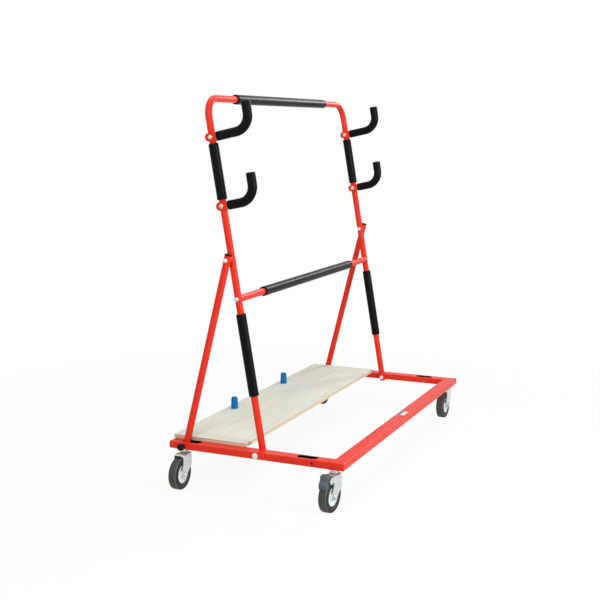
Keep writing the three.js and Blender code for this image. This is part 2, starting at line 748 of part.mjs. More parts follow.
for (const [end, along] of [['front', -1], ['rear', 1]]) {
  for (const [name, side] of sides) {
    const caster = `${end}_${name}`;
    const braked = brakedCasters.includes(caster);
    const group = new THREE.Group();
    group.position.set(side * casterX, along * casterY, 0);
    cart.add(group);
    addMesh(group, `${caster}_caster_mount`, casterMount(), zinc);
    const swivel = new THREE.Group();
    swivel.rotation.z = caster === turnedCaster ? casterTurn : 0;
    group.add(swivel);
    addMesh(swivel, `${caster}_fork`, casterFork(braked), zinc);
    addMesh(swivel, `${caster}_axle`, casterAxle(), zinc).position.set(-casterTrail, 0, axleZ);
    addMesh(swivel, `${caster}_wheel`, casterWheel(), wheelGrey).position.set(-casterTrail, 0, axleZ);
    addMesh(swivel, `${caster}_tyre`, casterTyre(), tyreRubber).position.set(-casterTrail, 0, axleZ);
    if (braked) {
      const pedal = addMesh(swivel, `${caster}_brake_pedal`, brakePedal(), greyPlastic);
      pedal.position.set(-casterTrail - pedalPinBack, 0, axleZ + pedalPinUp);
    }
  }
}

// The origin goes to the floor under the middle of the whole cart
const bounds = new THREE.Box3().setFromObject(cart, true);
const middle = bounds.getCenter(new THREE.Vector3());
cart.position.set(-middle.x, -middle.y, -bounds.min.z);

export default cart;
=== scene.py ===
"""Looks of the sheet goods cart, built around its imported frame. Metres, +Z up, +Y to the back."""

import json
import math

import bmesh
import bpy
from mathutils import Matrix, Vector, noise


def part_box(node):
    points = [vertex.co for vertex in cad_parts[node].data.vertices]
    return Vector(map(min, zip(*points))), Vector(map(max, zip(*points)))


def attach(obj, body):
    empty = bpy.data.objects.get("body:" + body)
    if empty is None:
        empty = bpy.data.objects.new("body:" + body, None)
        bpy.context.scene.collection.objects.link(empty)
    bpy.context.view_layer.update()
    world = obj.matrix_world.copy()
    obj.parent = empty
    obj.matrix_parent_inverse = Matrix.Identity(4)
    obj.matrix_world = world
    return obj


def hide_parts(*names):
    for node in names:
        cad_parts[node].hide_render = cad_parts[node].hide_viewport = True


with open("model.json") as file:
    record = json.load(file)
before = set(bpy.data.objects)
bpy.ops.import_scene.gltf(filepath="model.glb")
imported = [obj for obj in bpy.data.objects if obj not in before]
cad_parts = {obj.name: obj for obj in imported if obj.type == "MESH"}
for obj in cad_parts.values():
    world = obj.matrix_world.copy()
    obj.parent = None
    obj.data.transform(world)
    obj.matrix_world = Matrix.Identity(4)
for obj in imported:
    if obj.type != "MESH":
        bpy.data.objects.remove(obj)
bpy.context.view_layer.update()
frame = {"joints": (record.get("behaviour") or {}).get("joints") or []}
joints = {joint["name"]: Vector(joint["pos_m"]) for joint in frame["joints"]}

# An arc is the pair of angles, in degrees, between which a round run goes
MM = 0.001
SIDES = (("left", -1), ("right", 1))
CASTERS = ("front_left", "front_right", "rear_left", "rear_right")
BRAKED = ("front_left", "rear_right")

# Clearances, and the overlap of cutters and joined solids
FIT = 0.3 * MM
OVER = 1 * MM
WELD_GAP = 0.2 * MM

# Rails of the base
RAIL_WIDTH = 44 * MM
RAIL_HEIGHT = 22 * MM
RAIL_WALL = 2 * MM
RAIL_CORNER = 3 * MM
RAIL_BOTTOM = 126 * MM
HALF_LENGTH = 600 * MM
SLOT_LENGTH = 66 * MM
SLOT_WIDTH = 25 * MM
FRONT_SLOT_SETBACK = 126 * MM
FRONT_HOLE_SETBACK = 102 * MM
SLOT_PAST_FOOT = 15 * MM
BRACE_FOOT_FROM_BACK = 48 * MM
WELD_BEAD = 1 * MM
WELD_SUNK = 0.6 * WELD_BEAD
WELD_STEPS = 26
WELD_RIPPLE = 0.15
WELD_RIPPLE_TURN = 2.1
LABEL_LENGTH = 50 * MM
LABEL_WIDTH = 28 * MM
LABEL_SETBACK = 26 * MM
LABEL_SHIFT = 13 * MM
LABEL_THICK = 0.5 * MM
LABEL_LIFT = LABEL_THICK / 8
FIELD_THICK = LABEL_THICK / 2
LABEL_MARGIN = 3 * MM

# Deck and its pegs
DECK_CORNER = 1.5 * MM
PEG = 12.5 * MM
PEG_TAPER = 1.2 * MM
PEG_ROUND = 6 * MM
PEG_ARC = (8, 88)
SPIGOT = 6 * MM

# Folding frame and braces
TUBE = 11 * MM
TUBE_BORE = 9.2 * MM
UPRIGHT_X = 544.6 * MM
BRACE_X = 576 * MM
LEAN = math.radians(9.7)
FRAME_LENGTH = 1089 * MM
FRAME_BEND = 60 * MM
FOOT_LENGTH = 13 * MM
CROSS_BAR_AT = 477 * MM
BRACE_PAST_BOLT = 15 * MM
BRACE_BOSS = 9 * MM
PLUG_DEPTH = 8 * MM
PLUG_HEAD = 4 * MM
PLUG_ROUND = 2 * MM

# Foam sleeves
SLEEVE = 15.5 * MM
SLEEVE_BORE = TUBE + FIT
SLEEVE_ROUND = 2.2 * MM
SLEEVE_STEP = 9 * MM
SLEEVE_UNEVEN = 0.12 * MM
SLEEVE_WAVE = 24 * MM
TOP_SLEEVE_LENGTH = 714 * MM
CROSS_SLEEVE_LENGTH = 750 * MM
FRAME_SLEEVES = {"lower": (174 * MM, 431 * MM), "upper": (782.5 * MM, 952.5 * MM)}

# Hooks: the height of each bolt on the frame, and the reach of the arm
HOOKS = {"lower": (763 * MM, 108 * MM), "upper": (972 * MM, 129 * MM)}
HOOK_ROD = 8 * MM
HOOK_SLEEVE = 14.5 * MM
HOOK_BEND = 49 * MM
HOOK_RISE = 86 * MM
HOOK_TILT = math.radians(2)
HOOK_TIP_DISH = 1.8 * MM
HOOK_STEP = 7 * MM
HOOK_UNEVEN = 0.25 * MM
HOOK_WAVE = 20 * MM
ROD_SHORT_OF_TIP = 16 * MM
SADDLE_PLATE = 2.5 * MM
SADDLE_HEIGHT = 26 * MM
SADDLE_BACK = 18 * MM
SADDLE_FRONT = 19 * MM
SADDLE_CORNER = 4 * MM

# Fasteners and clamp knobs
BOLT = 4 * MM
HEAD_HEIGHT = 5 * MM
NUT_HEIGHT = 6 * MM
NUT = 7 * MM
WASHER = 1.2 * MM
BOLT_HEAD = 7.5 * MM
PIVOT_HEAD = 9.6 * MM
EDGE = 0.5 * MM
DOME_ARC = (0, 84)
HEAD_IN_WASHER = 0.82
HEX_CHAMFER = 0.18
DISH_RIM = 0.6
DISH_FLAT = 0.4
KNOB = 10.4 * MM
KNOB_RIM = 0.6 * KNOB
KNOB_DISH = 0.5 * KNOB
KNOB_LENGTH = 15 * MM
KNOB_NECK = 7.5 * MM
KNOB_NECK_LENGTH = 4 * MM
KNOB_ROUND = 2.4 * MM
KNOB_LOBES = 6
LOBE_DEPTH = 0.07
SCREW_TIP = 12.7 * MM

# Casters, from the floor up
WHEEL = 50 * MM
TYRE_HALF = 14 * MM
TYRE_INNER = 29.5 * MM
TYRE_ROUND = 5 * MM
SHOULDER_ARC = (90, 12)
RIM_HALF = 12 * MM
RIM_THICK = 4.5 * MM
WEB_HALF = 9.5 * MM
WEB_ROUND = 1.4 * MM
TYRE_GROOVE = 0.7 * MM
DRAFT = 1 * MM
HUB = 12 * MM
HUB_HALF = 15.4 * MM
TRAIL = 31 * MM
LEG_INSIDE = 16 * MM
FORK_PLATE = 2.5 * MM
LEG_OUTSIDE = LEG_INSIDE + FORK_PLATE
FORK_FRONT = 33 * MM
FORK_BACK = 13 * MM
FORK_BEND = 5 * MM
FORK_CORNER = 1.5 * MM
AXLE_BOSS = 13 * MM
BOSS_ARC = (-36, -189)
LEG_SHOULDER = 71 * MM
CROWN_BOTTOM = 107 * MM
CROWN_TOP = 111.4 * MM
RACE = 13 * MM
RACE_TOP = 113.7 * MM
KINGPIN = 6 * MM
RIVET = 10 * MM
RIVET_HEIGHT = 3 * MM
BEARING = 13 * MM
BEARING_HEIGHT = 3.5 * MM
NECK = 10.5 * MM
FLANGE = 16 * MM
FLANGE_HEIGHT = 4.5 * MM
MOUNT_ROUND = 0.8 * MM
AXLE = Vector((-TRAIL, 0, WHEEL))

# Brake pedals, from their pin
PEDAL_PIN = 3 * MM
PEDAL_HALF = 12 * MM
WHEEL_FROM_PIN = Vector((21 * MM, -51 * MM))
SHOE_GAP = 2.9 * MM
SHOE = WHEEL + SHOE_GAP
SHOE_ARC = (105, 146)
EAR = 8 * MM
EAR_ARC = (252, 95)
PEDAL_REACH = 26 * MM
PEDAL_STEP = 17 * MM
PEDAL_FOOT = -18 * MM
PEDAL_STEP_FROM = -3 * MM
PEDAL_STEP_TO = 5 * MM
PEDAL_RISE = 20 * MM
PEDAL_NOSE = 3 * MM
PEDAL_ROUND = 2.5 * MM
PEDAL_BEVEL = 1.2 * MM
RIB = 0.8 * MM
RIB_INSET = 2 * MM
RIBS = 4
PIN_FLARE = 1.4 * MM
PIN = AXLE - Vector((WHEEL_FROM_PIN.x, 0, WHEEL_FROM_PIN.y))

# Mesh quality
ROUND = 40
FINE_ROUND = 72
SMALL_ROUND = 12
HEX = 6
BEND_STEPS = 18
EASE_LIMIT = 0.45
BEVEL_STEPS = 2
BEVEL_SHAPE = 0.6
FORE_AND_AFT = 0.5
SHARP = math.radians(35)

# Floor and lamps: each lamp's place, its width and height, and its power in watts
FLOOR_HALF = 14
FLOOR_COLOUR = (0.86, 0.86, 0.86, 1)
FLOOR_GLOW_NEAR = 0.92
FLOOR_GLOW_FROM = 0.9
FLOOR_GLOW_TO = 2.2
WHITE = (1, 1, 1, 1)
WORLD_FILL = 0.25
LAMP_TARGET = Vector((0, 0, 0.5))
LAMPS = {"overhead": ((0.1, -0.3, 3.3), (2, 2), 34),
         "front": ((-0.8, -3.1, 1.4), (0.9, 1.8), 57),
         "near_end": ((-3.1, -0.7, 2.8), (2, 2), 68),
         "far_end": ((3.2, -0.85, 2.25), (0.6, 1.2), 38)}

# The photograph's camera, fitted to the rails and tubes
FRAME_PIXELS = 600
FOCAL_PIXELS = 1069.5
SENSOR_WIDTH = 36
CAMERA_YAW = math.radians(24.056)
CAMERA_PITCH = math.radians(9.156)
CAMERA_BEFORE_END = 2.80694
CAMERA_BEFORE_FRONT = 1.11283
CAMERA_ABOVE_RAIL = 0.97505

# Places
pivot = joints["frame_fold"]
middle_x = pivot.x
frame_place = Matrix.Translation(pivot) @ Matrix.Rotation(-LEAN, 4, "X")
front_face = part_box("front_rail")[0].y
back_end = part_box("left_rail")[1].y
RAIL_TOP = RAIL_BOTTOM + RAIL_HEIGHT
RAIL_MIDDLE = RAIL_BOTTOM + RAIL_HEIGHT / 2


# Materials
def add_node(tree, kind, inputs=None, **settings):
    """Adds a node. Each input takes a value, or a link from the output of another node."""
    made = tree.nodes.new(kind)
    for name, value in settings.items():
        setattr(made, name, value)
    for socket, value in (inputs or {}).items():
        if isinstance(value, bpy.types.NodeSocket):
            tree.links.new(value, made.inputs[socket])
        else:
            made.inputs[socket].default_value = value
    return made


class Finish:
    """A procedural material on the principled shader, in the object's own coordinates."""

    def __init__(self, name, **sockets):
        self.material = bpy.data.materials.new(name)
        self.material.use_nodes = True
        self.tree = self.material.node_tree
        self.shader = self.tree.nodes["Principled BSDF"]
        for socket, value in sockets.items():
            self.shader.inputs[socket.replace("_", " ")].default_value = value
        self.coordinates = self.node("ShaderNodeTexCoord").outputs["Object"]

    def node(self, kind, inputs=None, **settings):
        return add_node(self.tree, kind, inputs, **settings)

    def to_shader(self, output, socket):
        self.tree.links.new(output, self.shader.inputs[socket])

    def noise(self, scale, detail, stretch=(1, 1, 1), distortion=0):
        mapping = self.node("ShaderNodeMapping", {"Vector": self.coordinates, "Scale": stretch})
        inputs = {"Vector": mapping.outputs["Vector"], "Scale": scale, "Detail": detail,
                  "Distortion": distortion}
        return self.node("ShaderNodeTexNoise", inputs).outputs["Fac"]

    def cells(self, scale):
        inputs = {"Vector": self.coordinates, "Scale": scale}
        return self.node("ShaderNodeTexVoronoi", inputs).outputs["Distance"]

    def ramp(self, factor, *stops):
        """A colour that changes with a factor, through stops of a factor and its colour."""
        made = self.node("ShaderNodeValToRGB", {"Fac": factor})
        elements = made.color_ramp.elements
        while len(elements) < len(stops):
            elements.new(0.5)
        for element, (place, colour) in zip(elements, stops):
            element.position = place
            element.color = (*colour, 1)
        return made.outputs["Color"]

    def mix(self, factor, first, second, blend="MIX"):
        inputs = {"Factor": factor, "A": first, "B": second}
        return self.node("ShaderNodeMix", inputs, data_type="RGBA", blend_type=blend).outputs["Result"]

    def facing(self, axis):
        """How far a surface faces along an axis of its object, from 0 to 1."""
        normal = self.node("ShaderNodeTexCoord").outputs["Normal"]
        along = self.node("ShaderNodeSeparateXYZ", {"Vector": normal}).outputs[axis]
        return self.node("ShaderNodeMath", {0: along}, operation="ABSOLUTE").outputs["Value"]

    def height(self, low, high):
        """The height in the object, as a share of the way from low to high."""
        level = self.node("ShaderNodeSeparateXYZ", {"Vector": self.coordinates}).outputs["Z"]
        inputs = {"Value": level, "From Min": low, "From Max": high}
        return self.node("ShaderNodeMapRange", inputs).outputs["Result"]

    def colour(self, output):
        self.to_shader(output, "Base Color")

    def roughness(self, factor, low, high):
        made = self.node("ShaderNodeMapRange", {"Value": factor, "To Min": low, "To Max": high})
        self.to_shader(made.outputs["Result"], "Roughness")

    def bump(self, height, distance, strength):
        made = self.node("ShaderNodeBump", {"Height": height, "Distance": distance, "Strength": strength})
        self.to_shader(made.outputs["Normal"], "Normal")


def red_paint():
    """Gloss powder coat with a fine orange peel."""
    finish = Finish("red_powder_coat", Specular_IOR_Level=0.12)
    patches = finish.noise(9, 4)
    finish.colour(finish.ramp(patches, (0.3, (0.70, 0.027, 0.012)), (0.7, (0.75, 0.035, 0.016))))
    finish.roughness(finish.noise(60, 4), 0.26, 0.34)
    finish.bump(finish.noise(500, 2), 0.0001, 0.2)
    return finish.material


def foam():
    """Closed-cell foam with a smooth, slightly waxy skin full of fine pores."""
    finish = Finish("black_foam", Specular_IOR_Level=0.075)
    mottle = finish.noise(220, 4)
    finish.colour(finish.ramp(mottle, (0.3, (0.0018, 0.0020, 0.0015)), (0.75, (0.0045, 0.0049, 0.0039))))
    finish.roughness(finish.noise(90, 5), 0.28, 0.34)
    finish.bump(finish.cells(1500), 0.0002, 0.12)
    return finish.material


def plywood(low, high):
    """Pale birch faces with a faint long grain, and edges that show the plies."""
    finish = Finish("birch_plywood", Specular_IOR_Level=0.25)
    long_grain = (0.06, 1, 1)
    streaks = finish.noise(45, 7, long_grain, 1.2)
    grain = finish.ramp(streaks, (0.25, (0.69, 0.68, 0.59)), (0.5, (0.735, 0.735, 0.65)),
                        (0.75, (0.76, 0.765, 0.69)))
    swirl = finish.noise(7, 5, (0.4, 1, 1), 2.5)
    clouds = finish.ramp(swirl, (0.32, (0.925, 0.925, 0.90)), (0.46, (1, 1, 1)))
    face = finish.mix(1, grain, clouds, "MULTIPLY")
    tan = (0.68, 0.58, 0.40)
    glue = (0.50, 0.37, 0.21)
    pale = (0.76, 0.67, 0.49)
    brown = (0.42, 0.29, 0.16)
    plies = finish.ramp(finish.height(low, high), (0, pale), (0.26, tan), (0.30, glue), (0.34, pale),
                        (0.64, pale), (0.69, brown), (0.80, brown), (0.86, tan))
    finish.colour(finish.mix(finish.facing("Z"), plies, face))
    finish.roughness(streaks, 0.5, 0.72)
    finish.bump(finish.noise(240, 5, long_grain), 0.0002, 0.25)
    return finish.material


def tyre_rubber():
    """Grey rubber with a dusty mottle, a painted highlight along the shoulder of the tread, and painted
    shade on the walls.
    """
    finish = Finish("tyre_rubber", Specular_IOR_Level=0.25)
    dust = finish.noise(160, 5)
    tread = finish.ramp(dust, (0.3, (0.042, 0.045, 0.038)), (0.75, (0.066, 0.070, 0.060)))
    # Painted highlight: a lighter band where the tread rounds into the wall
    shoulder = finish.ramp(dust, (0.3, (0.095, 0.100, 0.088)), (0.75, (0.140, 0.145, 0.130)))
    # Painted shade: the walls darker than the tread
    wall = finish.ramp(dust, (0.3, (0.009, 0.009, 0.008)), (0.75, (0.018, 0.018, 0.016)))
    sideways = finish.facing("Y")
    outer = finish.mix(finish.ramp(sideways, (0.22, (0, 0, 0)), (0.42, (1, 1, 1))), tread, shoulder)
    finish.colour(finish.mix(finish.ramp(sideways, (0.66, (0, 0, 0)), (0.84, (1, 1, 1))), outer, wall))
    finish.roughness(finish.noise(80, 4), 0.45, 0.65)
    finish.bump(finish.noise(900, 3), 0.00015, 0.4)
    return finish.material


def plated(name, dark, light, low, high):
    """Plated steel with a soft, cloudy lustre."""
    finish = Finish(name, Metallic=1)
    finish.colour(finish.ramp(finish.noise(120, 5), (0.3, dark), (0.7, light)))
    finish.roughness(finish.noise(300, 3), low, high)
    finish.bump(finish.noise(900, 2), 0.0001, 0.3)
    return finish.material


def moulded(name, dark, light, low, high, shine):
    """Moulded polymer or rubber with a fine grain."""
    finish = Finish(name, Specular_IOR_Level=shine)
    finish.colour(finish.ramp(finish.noise(140, 5), (0.3, dark), (0.75, light)))
    finish.roughness(finish.noise(80, 4), low, high)
    finish.bump(finish.noise(900, 3), 0.00015, 0.5)
    return finish.material


RED = red_paint()
FOAM = foam()
PLY = plywood(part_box("deck")[0].z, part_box("deck")[1].z)
TYRE = tyre_rubber()
ZINC = plated("zinc_plate", (0.60, 0.63, 0.625), (0.72, 0.745, 0.74), 0.42, 0.56)
# Zinc darkened as painted shade, for the faces inside the caster forks and on their bearing races
ZINC_IN_PAINTED_SHADE = plated("zinc_painted_shade", (0.10, 0.10, 0.10), (0.17, 0.17, 0.165), 0.55, 0.7)
BRIGHT = plated("bright_bolt", (0.30, 0.31, 0.31), (0.48, 0.49, 0.48), 0.28, 0.42)
WARM_ZINC = plated("passivated_zinc", (0.50, 0.45, 0.31), (0.68, 0.62, 0.47), 0.32, 0.46)
# Bare steel for the inside of the end rails, darkened to near black as painted shade in the tube and under
# its slots
CAVITY_STEEL_AND_SHADE = plated("bare_steel_and_painted_shade", (0.020, 0.016, 0.016), (0.045, 0.036, 0.034), 0.55, 0.75)
DISC = moulded("wheel_polymer", (0.70, 0.79, 0.795), (0.78, 0.86, 0.865), 0.38, 0.55, 0.4)
PEDAL = moulded("pedal_polymer", (0.072, 0.097, 0.101), (0.104, 0.134, 0.138), 0.42, 0.6, 0.25)
BLUE = moulded("blue_polymer", (0.001, 0.125, 0.36), (0.003, 0.165, 0.45), 0.30, 0.44, 0.2)
BLACK = moulded("black_polymer", (0.003, 0.003, 0.003), (0.008, 0.008, 0.0075), 0.42, 0.6, 0.12)
PLATE = moulded("bare_label_plate", (0.60, 0.62, 0.60), (0.70, 0.72, 0.70), 0.35, 0.5, 0.3)
FIELD = moulded("plain_label_field", (0.14, 0.17, 0.15), (0.19, 0.22, 0.20), 0.4, 0.55, 0.3)

# Meshes
AXES = {"x": Vector((1, 0, 0)), "y": Vector((0, 1, 0)), "z": Vector((0, 0, 1))}


def join_rings(bm, rings, closed=False):
    """Joins rings of points into a surface. A ring of one point closes an end."""
    pairs = list(zip(rings, rings[1:]))
    if closed:
        pairs.append((rings[-1], rings[0]))
    for low, high in pairs:
        count = max(len(low), len(high))
        for step in range(count):
            after = (step + 1) % count
            if len(low) == 1:
                bm.faces.new((low[0], high[after], high[step]))
            elif len(high) == 1:
                bm.faces.new((low[step], low[after], high[0]))
            else:
                bm.faces.new((low[step], low[after], high[after], high[step]))


def skin(bm, stations, sides, closed=False, lobes=0, lobe_depth=0.0):
    """A surface through round stations, each of a centre, two axes and a radius."""
    rings = []
    for centre, first, second, radius in stations:
        if radius == 0:
            rings.append([bm.verts.new(centre)])
            continue
        ring = []
        for step in range(sides):
            angle = 2 * math.pi * step / sides
            reach = radius * (1 + lobe_depth * math.cos(lobes * angle))
            ring.append(bm.verts.new(centre + reach * (math.cos(angle) * first + math.sin(angle) * second)))
        rings.append(ring)
    join_rings(bm, rings, closed)


def turned(bm, axis, profile, place=(0, 0, 0), sides=ROUND, closed=False, **lobing):
    """A turned piece from pairs of radius and height along an axis."""
    along = AXES[axis]
    first = AXES["y" if axis == "x" else "x"]
    second = along.cross(first)
    origin = Vector(place)
    stations = [(origin + along * height, first, second, radius) for radius, height in profile]
    skin(bm, stations, sides, closed, **lobing)


def eased(corners, edge, closed=False, steps=3):
    """A line of corners with each corner rounded off, apart from the two ends of an open line."""
    corners = [Vector(corner) for corner in corners]
    count = len(corners)
    points = [] if closed else [corners[0]]
    for index in range(count) if closed else range(1, count - 1):
        corner = corners[index]
        back = corners[index - 1] - corner
        ahead = corners[(index + 1) % count] - corner
        reach = min(edge, back.length * EASE_LIMIT, ahead.length * EASE_LIMIT)
        start = corner + back.normalized() * reach
        end = corner + ahead.normalized() * reach
        for step in range(steps + 1):
            share = step / steps
            points.append(start.lerp(corner, share).lerp(corner.lerp(end, share), share))
    if not closed:
        points.append(corners[-1])
    return points


def arc(centre, radius, start, end, steps):
    """Points on a circle, with the angles in degrees."""
    angles = [math.radians(start + (end - start) * step / steps) for step in range(steps + 1)]
    return [(centre[0] + radius * math.cos(a), centre[1] + radius * math.sin(a)) for a in angles]


def rounded_rectangle(width, height, radius, steps=5):
    outline = []
    for x, y, start in ((1, 1, 0), (-1, 1, 90), (-1, -1, 180), (1, -1, 270)):
        corner = (x * (width / 2 - radius), y * (height / 2 - radius))
        outline += arc(corner, radius, start, start + 90, steps)
    return outline


def bent_path(corners, bend, straight_step=None):
    """Points along straight runs with a round bend at each inner corner."""
    corners = [Vector(corner) for corner in corners]
    points = [corners[0]]
    for before, corner, after in zip(corners, corners[1:], corners[2:]):
        to_before = (before - corner).normalized()
        to_after = (after - corner).normalized()
        half = to_before.angle(to_after) / 2
        centre = corner + (to_before + to_after).normalized() * (bend / math.sin(half))
        start = corner + to_before * (bend / math.tan(half)) - centre
        axis = to_after.cross(to_before).normalized()
        for step in range(BEND_STEPS + 1):
            turn = Matrix.Rotation((math.pi - 2 * half) * step / BEND_STEPS, 3, axis)
            points.append(centre + turn @ start)
    points.append(corners[-1])
    if straight_step is None:
        return points
    filled = [points[0]]
    for start, end in zip(points, points[1:]):
        count = max(1, round((end - start).length / straight_step))
        filled += [start.lerp(end, step / count) for step in range(1, count + 1)]
    return filled


def stations_along(points, normal, radius):
    """Stations square to a flat line of points that lies in the plane with that normal."""
    stations = []
    for index, point in enumerate(points):
        before = points[max(index - 1, 0)]
        after = points[min(index + 1, len(points) - 1)]
        tangent = (after - before).normalized()
        stations.append((point, normal, tangent.cross(normal), radius))
    return stations


def resized(stations, radius):
    return [(centre, first, second, radius) for centre, first, second, _ in stations]


def capped(stations):
    """Stations with a closing point at both ends."""
    return resized(stations[:1], 0) + stations + resized(stations[-1:], 0)


def pipe(bm, points, normal, outer, bore):
    """A hollow tube along a flat line of points."""
    outside = stations_along(points, normal, outer)
    skin(bm, outside + resized(outside, bore)[::-1], ROUND, closed=True)


def prism(bm, outline, low, high, bevel, axes):
    """An outline pushed from low to high along the third of three axes, with its rims bevelled."""
    across, up, along = (AXES[axis] for axis in axes)
    rings = [[bm.verts.new(across * x + up * y + along * level) for x, y in outline]
             for level in (low, high)]
    join_rings(bm, rings)
    ends = [bm.faces.new(rings[0][::-1]), bm.faces.new(rings[1])]
    if bevel:
        rims = [edge for face in ends for edge in face.edges]
        bmesh.ops.bevel(bm, geom=rims, offset=bevel, segments=BEVEL_STEPS, profile=BEVEL_SHAPE,
                        affect="EDGES", clamp_overlap=True)


def add_object(name, data):
    made = bpy.data.objects.new(name, data)
    bpy.context.scene.collection.objects.link(made)
    return made


def add_mesh(name, bm):
    mesh = bpy.data.meshes.new(name)
    bm.to_mesh(mesh)
    bm.free()
    return add_object(name, mesh)


def carved(solid, cutter, operation="DIFFERENCE"):
    """The mesh of one solid cut by another."""
    workers = []
    for bm in (solid, cutter):
        bmesh.ops.recalc_face_normals(bm, faces=bm.faces)
        workers.append(add_mesh("carving", bm))
    cut = workers[0].modifiers.new("cut", "BOOLEAN")
    cut.object = workers[1]
    cut.operation = operation
    cut.solver = "EXACT"
    result = bmesh.new()
    result.from_object(workers[0], bpy.context.evaluated_depsgraph_get())
    for worker in workers:
        bpy.data.objects.remove(worker)
    return result


def piece(name, bm, body, material, stands_for=(), lining=None, place=None):
    """Makes an object of the mesh, smooth across shallow angles, that rides on a body."""
    if place is not None:
        bm.transform(place)
    bmesh.ops.recalc_face_normals(bm, faces=bm.faces)
    made = add_mesh(name, bm)
    mesh = made.data
    for polygon in mesh.polygons:
        polygon.use_smooth = True
    mesh.set_sharp_from_angle(angle=SHARP)
    mesh.materials.append(material)
    if lining:
        mesh.materials.append(lining)
    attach(made, body)
    if stands_for:
        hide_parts(*stands_for)
    return made


def foam_piece(name, bm, node, place=frame_place):
    """Foam on the back frame, in place of its CAD sleeve."""
    made = piece(name, bm, "back_frame", FOAM, [node], place=place)


def soften(bm, depth, wave):
    """Moves each point of a soft skin a little, by smooth noise."""
    bm.normal_update()
    moved = [(vert, vert.normal * (depth * noise.noise(vert.co / wave))) for vert in bm.verts]
    for vert, offset in moved:
        vert.co += offset


def facing(side, place):
    """The place of a piece modelled along +X that points out of its side of the cart."""
    return Matrix.Translation(place) @ Matrix.Rotation(0 if side > 0 else math.pi, 4, "Z")


# Base
def box_tube(bm, place_point):
    """A rectangular tube, whose section points are placed at its two ends by a function."""
    outer = rounded_rectangle(RAIL_WIDTH, RAIL_HEIGHT, RAIL_CORNER)
    inner_size = (RAIL_WIDTH - 2 * RAIL_WALL, RAIL_HEIGHT - 2 * RAIL_WALL)
    inner = rounded_rectangle(*inner_size, RAIL_CORNER - RAIL_WALL)
    rings = [[bm.verts.new(place_point(u, v, end)) for u, v in outline]
             for outline, end in ((outer, 0), (outer, 1), (inner, 1), (inner, 0))]
    join_rings(bm, rings, closed=True)


def slot_outline(x, y):
    radius = SLOT_WIDTH / 2
    straight = SLOT_LENGTH / 2 - radius
    back = arc((x, y + straight), radius, 0, 180, steps=16)
    return back + arc((x, y - straight), radius, 180, 360, steps=16)


def drill(bm, axis, radius, low, high, place):
    turned(bm, axis, [(0, low), (radius, low), (radius, high), (0, high)], place)


def line_cavity(bm, x):
    """Gives the faces inside an end rail bare steel, darkened to near black as painted shade inside the
    tube.
    """
    half_width = RAIL_WIDTH / 2 - RAIL_WALL / 2
    half_height = RAIL_HEIGHT / 2 - RAIL_WALL / 2
    for face in bm.faces:
        centre = face.calc_center_median()
        inside = abs(centre.x - x) < half_width and abs(centre.z - RAIL_MIDDLE) < half_height
        face.material_index = 1 if inside else 0


def end_rails():
    for name, side in SIDES:
        rail_x = middle_x + side * (HALF_LENGTH - RAIL_WIDTH / 2)
        outer = middle_x + side * HALF_LENGTH

        def end_point(u, v, end):
            mitre = front_face + WELD_GAP + RAIL_WIDTH / 2 - u
            return Vector((rail_x + side * u, back_end if end else mitre, RAIL_MIDDLE + v))

        tube = bmesh.new()
        box_tube(tube, end_point)
        cuts = bmesh.new()
        slot_x = middle_x + side * BRACE_X
        rear_slot = back_end - BRACE_FOOT_FROM_BACK + SLOT_PAST_FOOT - SLOT_LENGTH / 2
        for slot_y in (rear_slot, front_face + FRONT_SLOT_SETBACK):
            outline = slot_outline(slot_x, slot_y)
            prism(cuts, outline, RAIL_TOP - RAIL_WALL - OVER, RAIL_TOP + OVER, 0, "xyz")
        reach = RAIL_WIDTH + OVER
        drill(cuts, "x", BOLT + FIT, -reach, reach, (outer, pivot.y, RAIL_MIDDLE))
        wall = RAIL_WALL + OVER
        for hole_y in (joints[f"{name}_clamp_turn"].y, front_face + FRONT_HOLE_SETBACK):
            drill(cuts, "x", BOLT + FIT, -wall, wall, (outer, hole_y, RAIL_MIDDLE))
        for end in ("front", "rear"):
            king = joints[f"{end}_{name}_swivel"]
            drill(cuts, "z", KINGPIN + FIT, -OVER, wall, (king.x, king.y, RAIL_BOTTOM))
        rail = carved(tube, cuts)
        line_cavity(rail, rail_x)
        piece(f"{name}_rail_tube", rail, "base", RED, [f"{name}_rail"], CAVITY_STEEL_AND_SHADE)


def front_rail():
    def end_point(u, v, end):
        depth = RAIL_WIDTH / 2 - u
        reach = HALF_LENGTH - depth
        return Vector((middle_x + (reach if end else -reach), front_face + depth, RAIL_MIDDLE + v))

    bm = bmesh.new()
    box_tube(bm, end_point)
    piece("front_rail_tube", bm, "base", RED, ["front_rail"])


def rail_end_plates():
    for name, side in SIDES:
        node = f"{name}_rail_end_plate"
        low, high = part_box(node)
        centre = (low + high) / 2
        outline = rounded_rectangle(RAIL_WIDTH, RAIL_HEIGHT, RAIL_CORNER)
        bm = bmesh.new()
        prism(bm, outline, low.y, high.y, EDGE, "xzy")
        place = Matrix.Translation((centre.x, 0, centre.z))
        piece(f"{name}_rail_cover", bm, "base", RED, [node], place=place)


def weld_beads():
    """Beads that close the mitred corners of the base, on the top and the bottom."""
    for name, side in SIDES:
        bm = bmesh.new()
        edge = RAIL_CORNER / 2
        outer = Vector((middle_x + side * (HALF_LENGTH - edge), front_face + edge, 0))
        inner = Vector((middle_x + side * (HALF_LENGTH - RAIL_WIDTH), front_face + RAIL_WIDTH, 0))
        across = (inner - outer).normalized().cross(AXES["z"])
        for level in (RAIL_TOP - WELD_SUNK, RAIL_BOTTOM + WELD_SUNK):
            steps = range(WELD_STEPS + 1)
            line = [outer.lerp(inner, step / WELD_STEPS) + AXES["z"] * level for step in steps]
            ripples = []
            for step, (centre, first, second, radius) in enumerate(stations_along(line, across, WELD_BEAD)):
                swell = 1 - WELD_RIPPLE + WELD_RIPPLE * math.cos(WELD_RIPPLE_TURN * step)
                ripples.append((centre, first, second, radius * swell))
            skin(bm, capped(ripples), SMALL_ROUND)
        piece(f"{name}_corner_weld", bm, "base", RED)


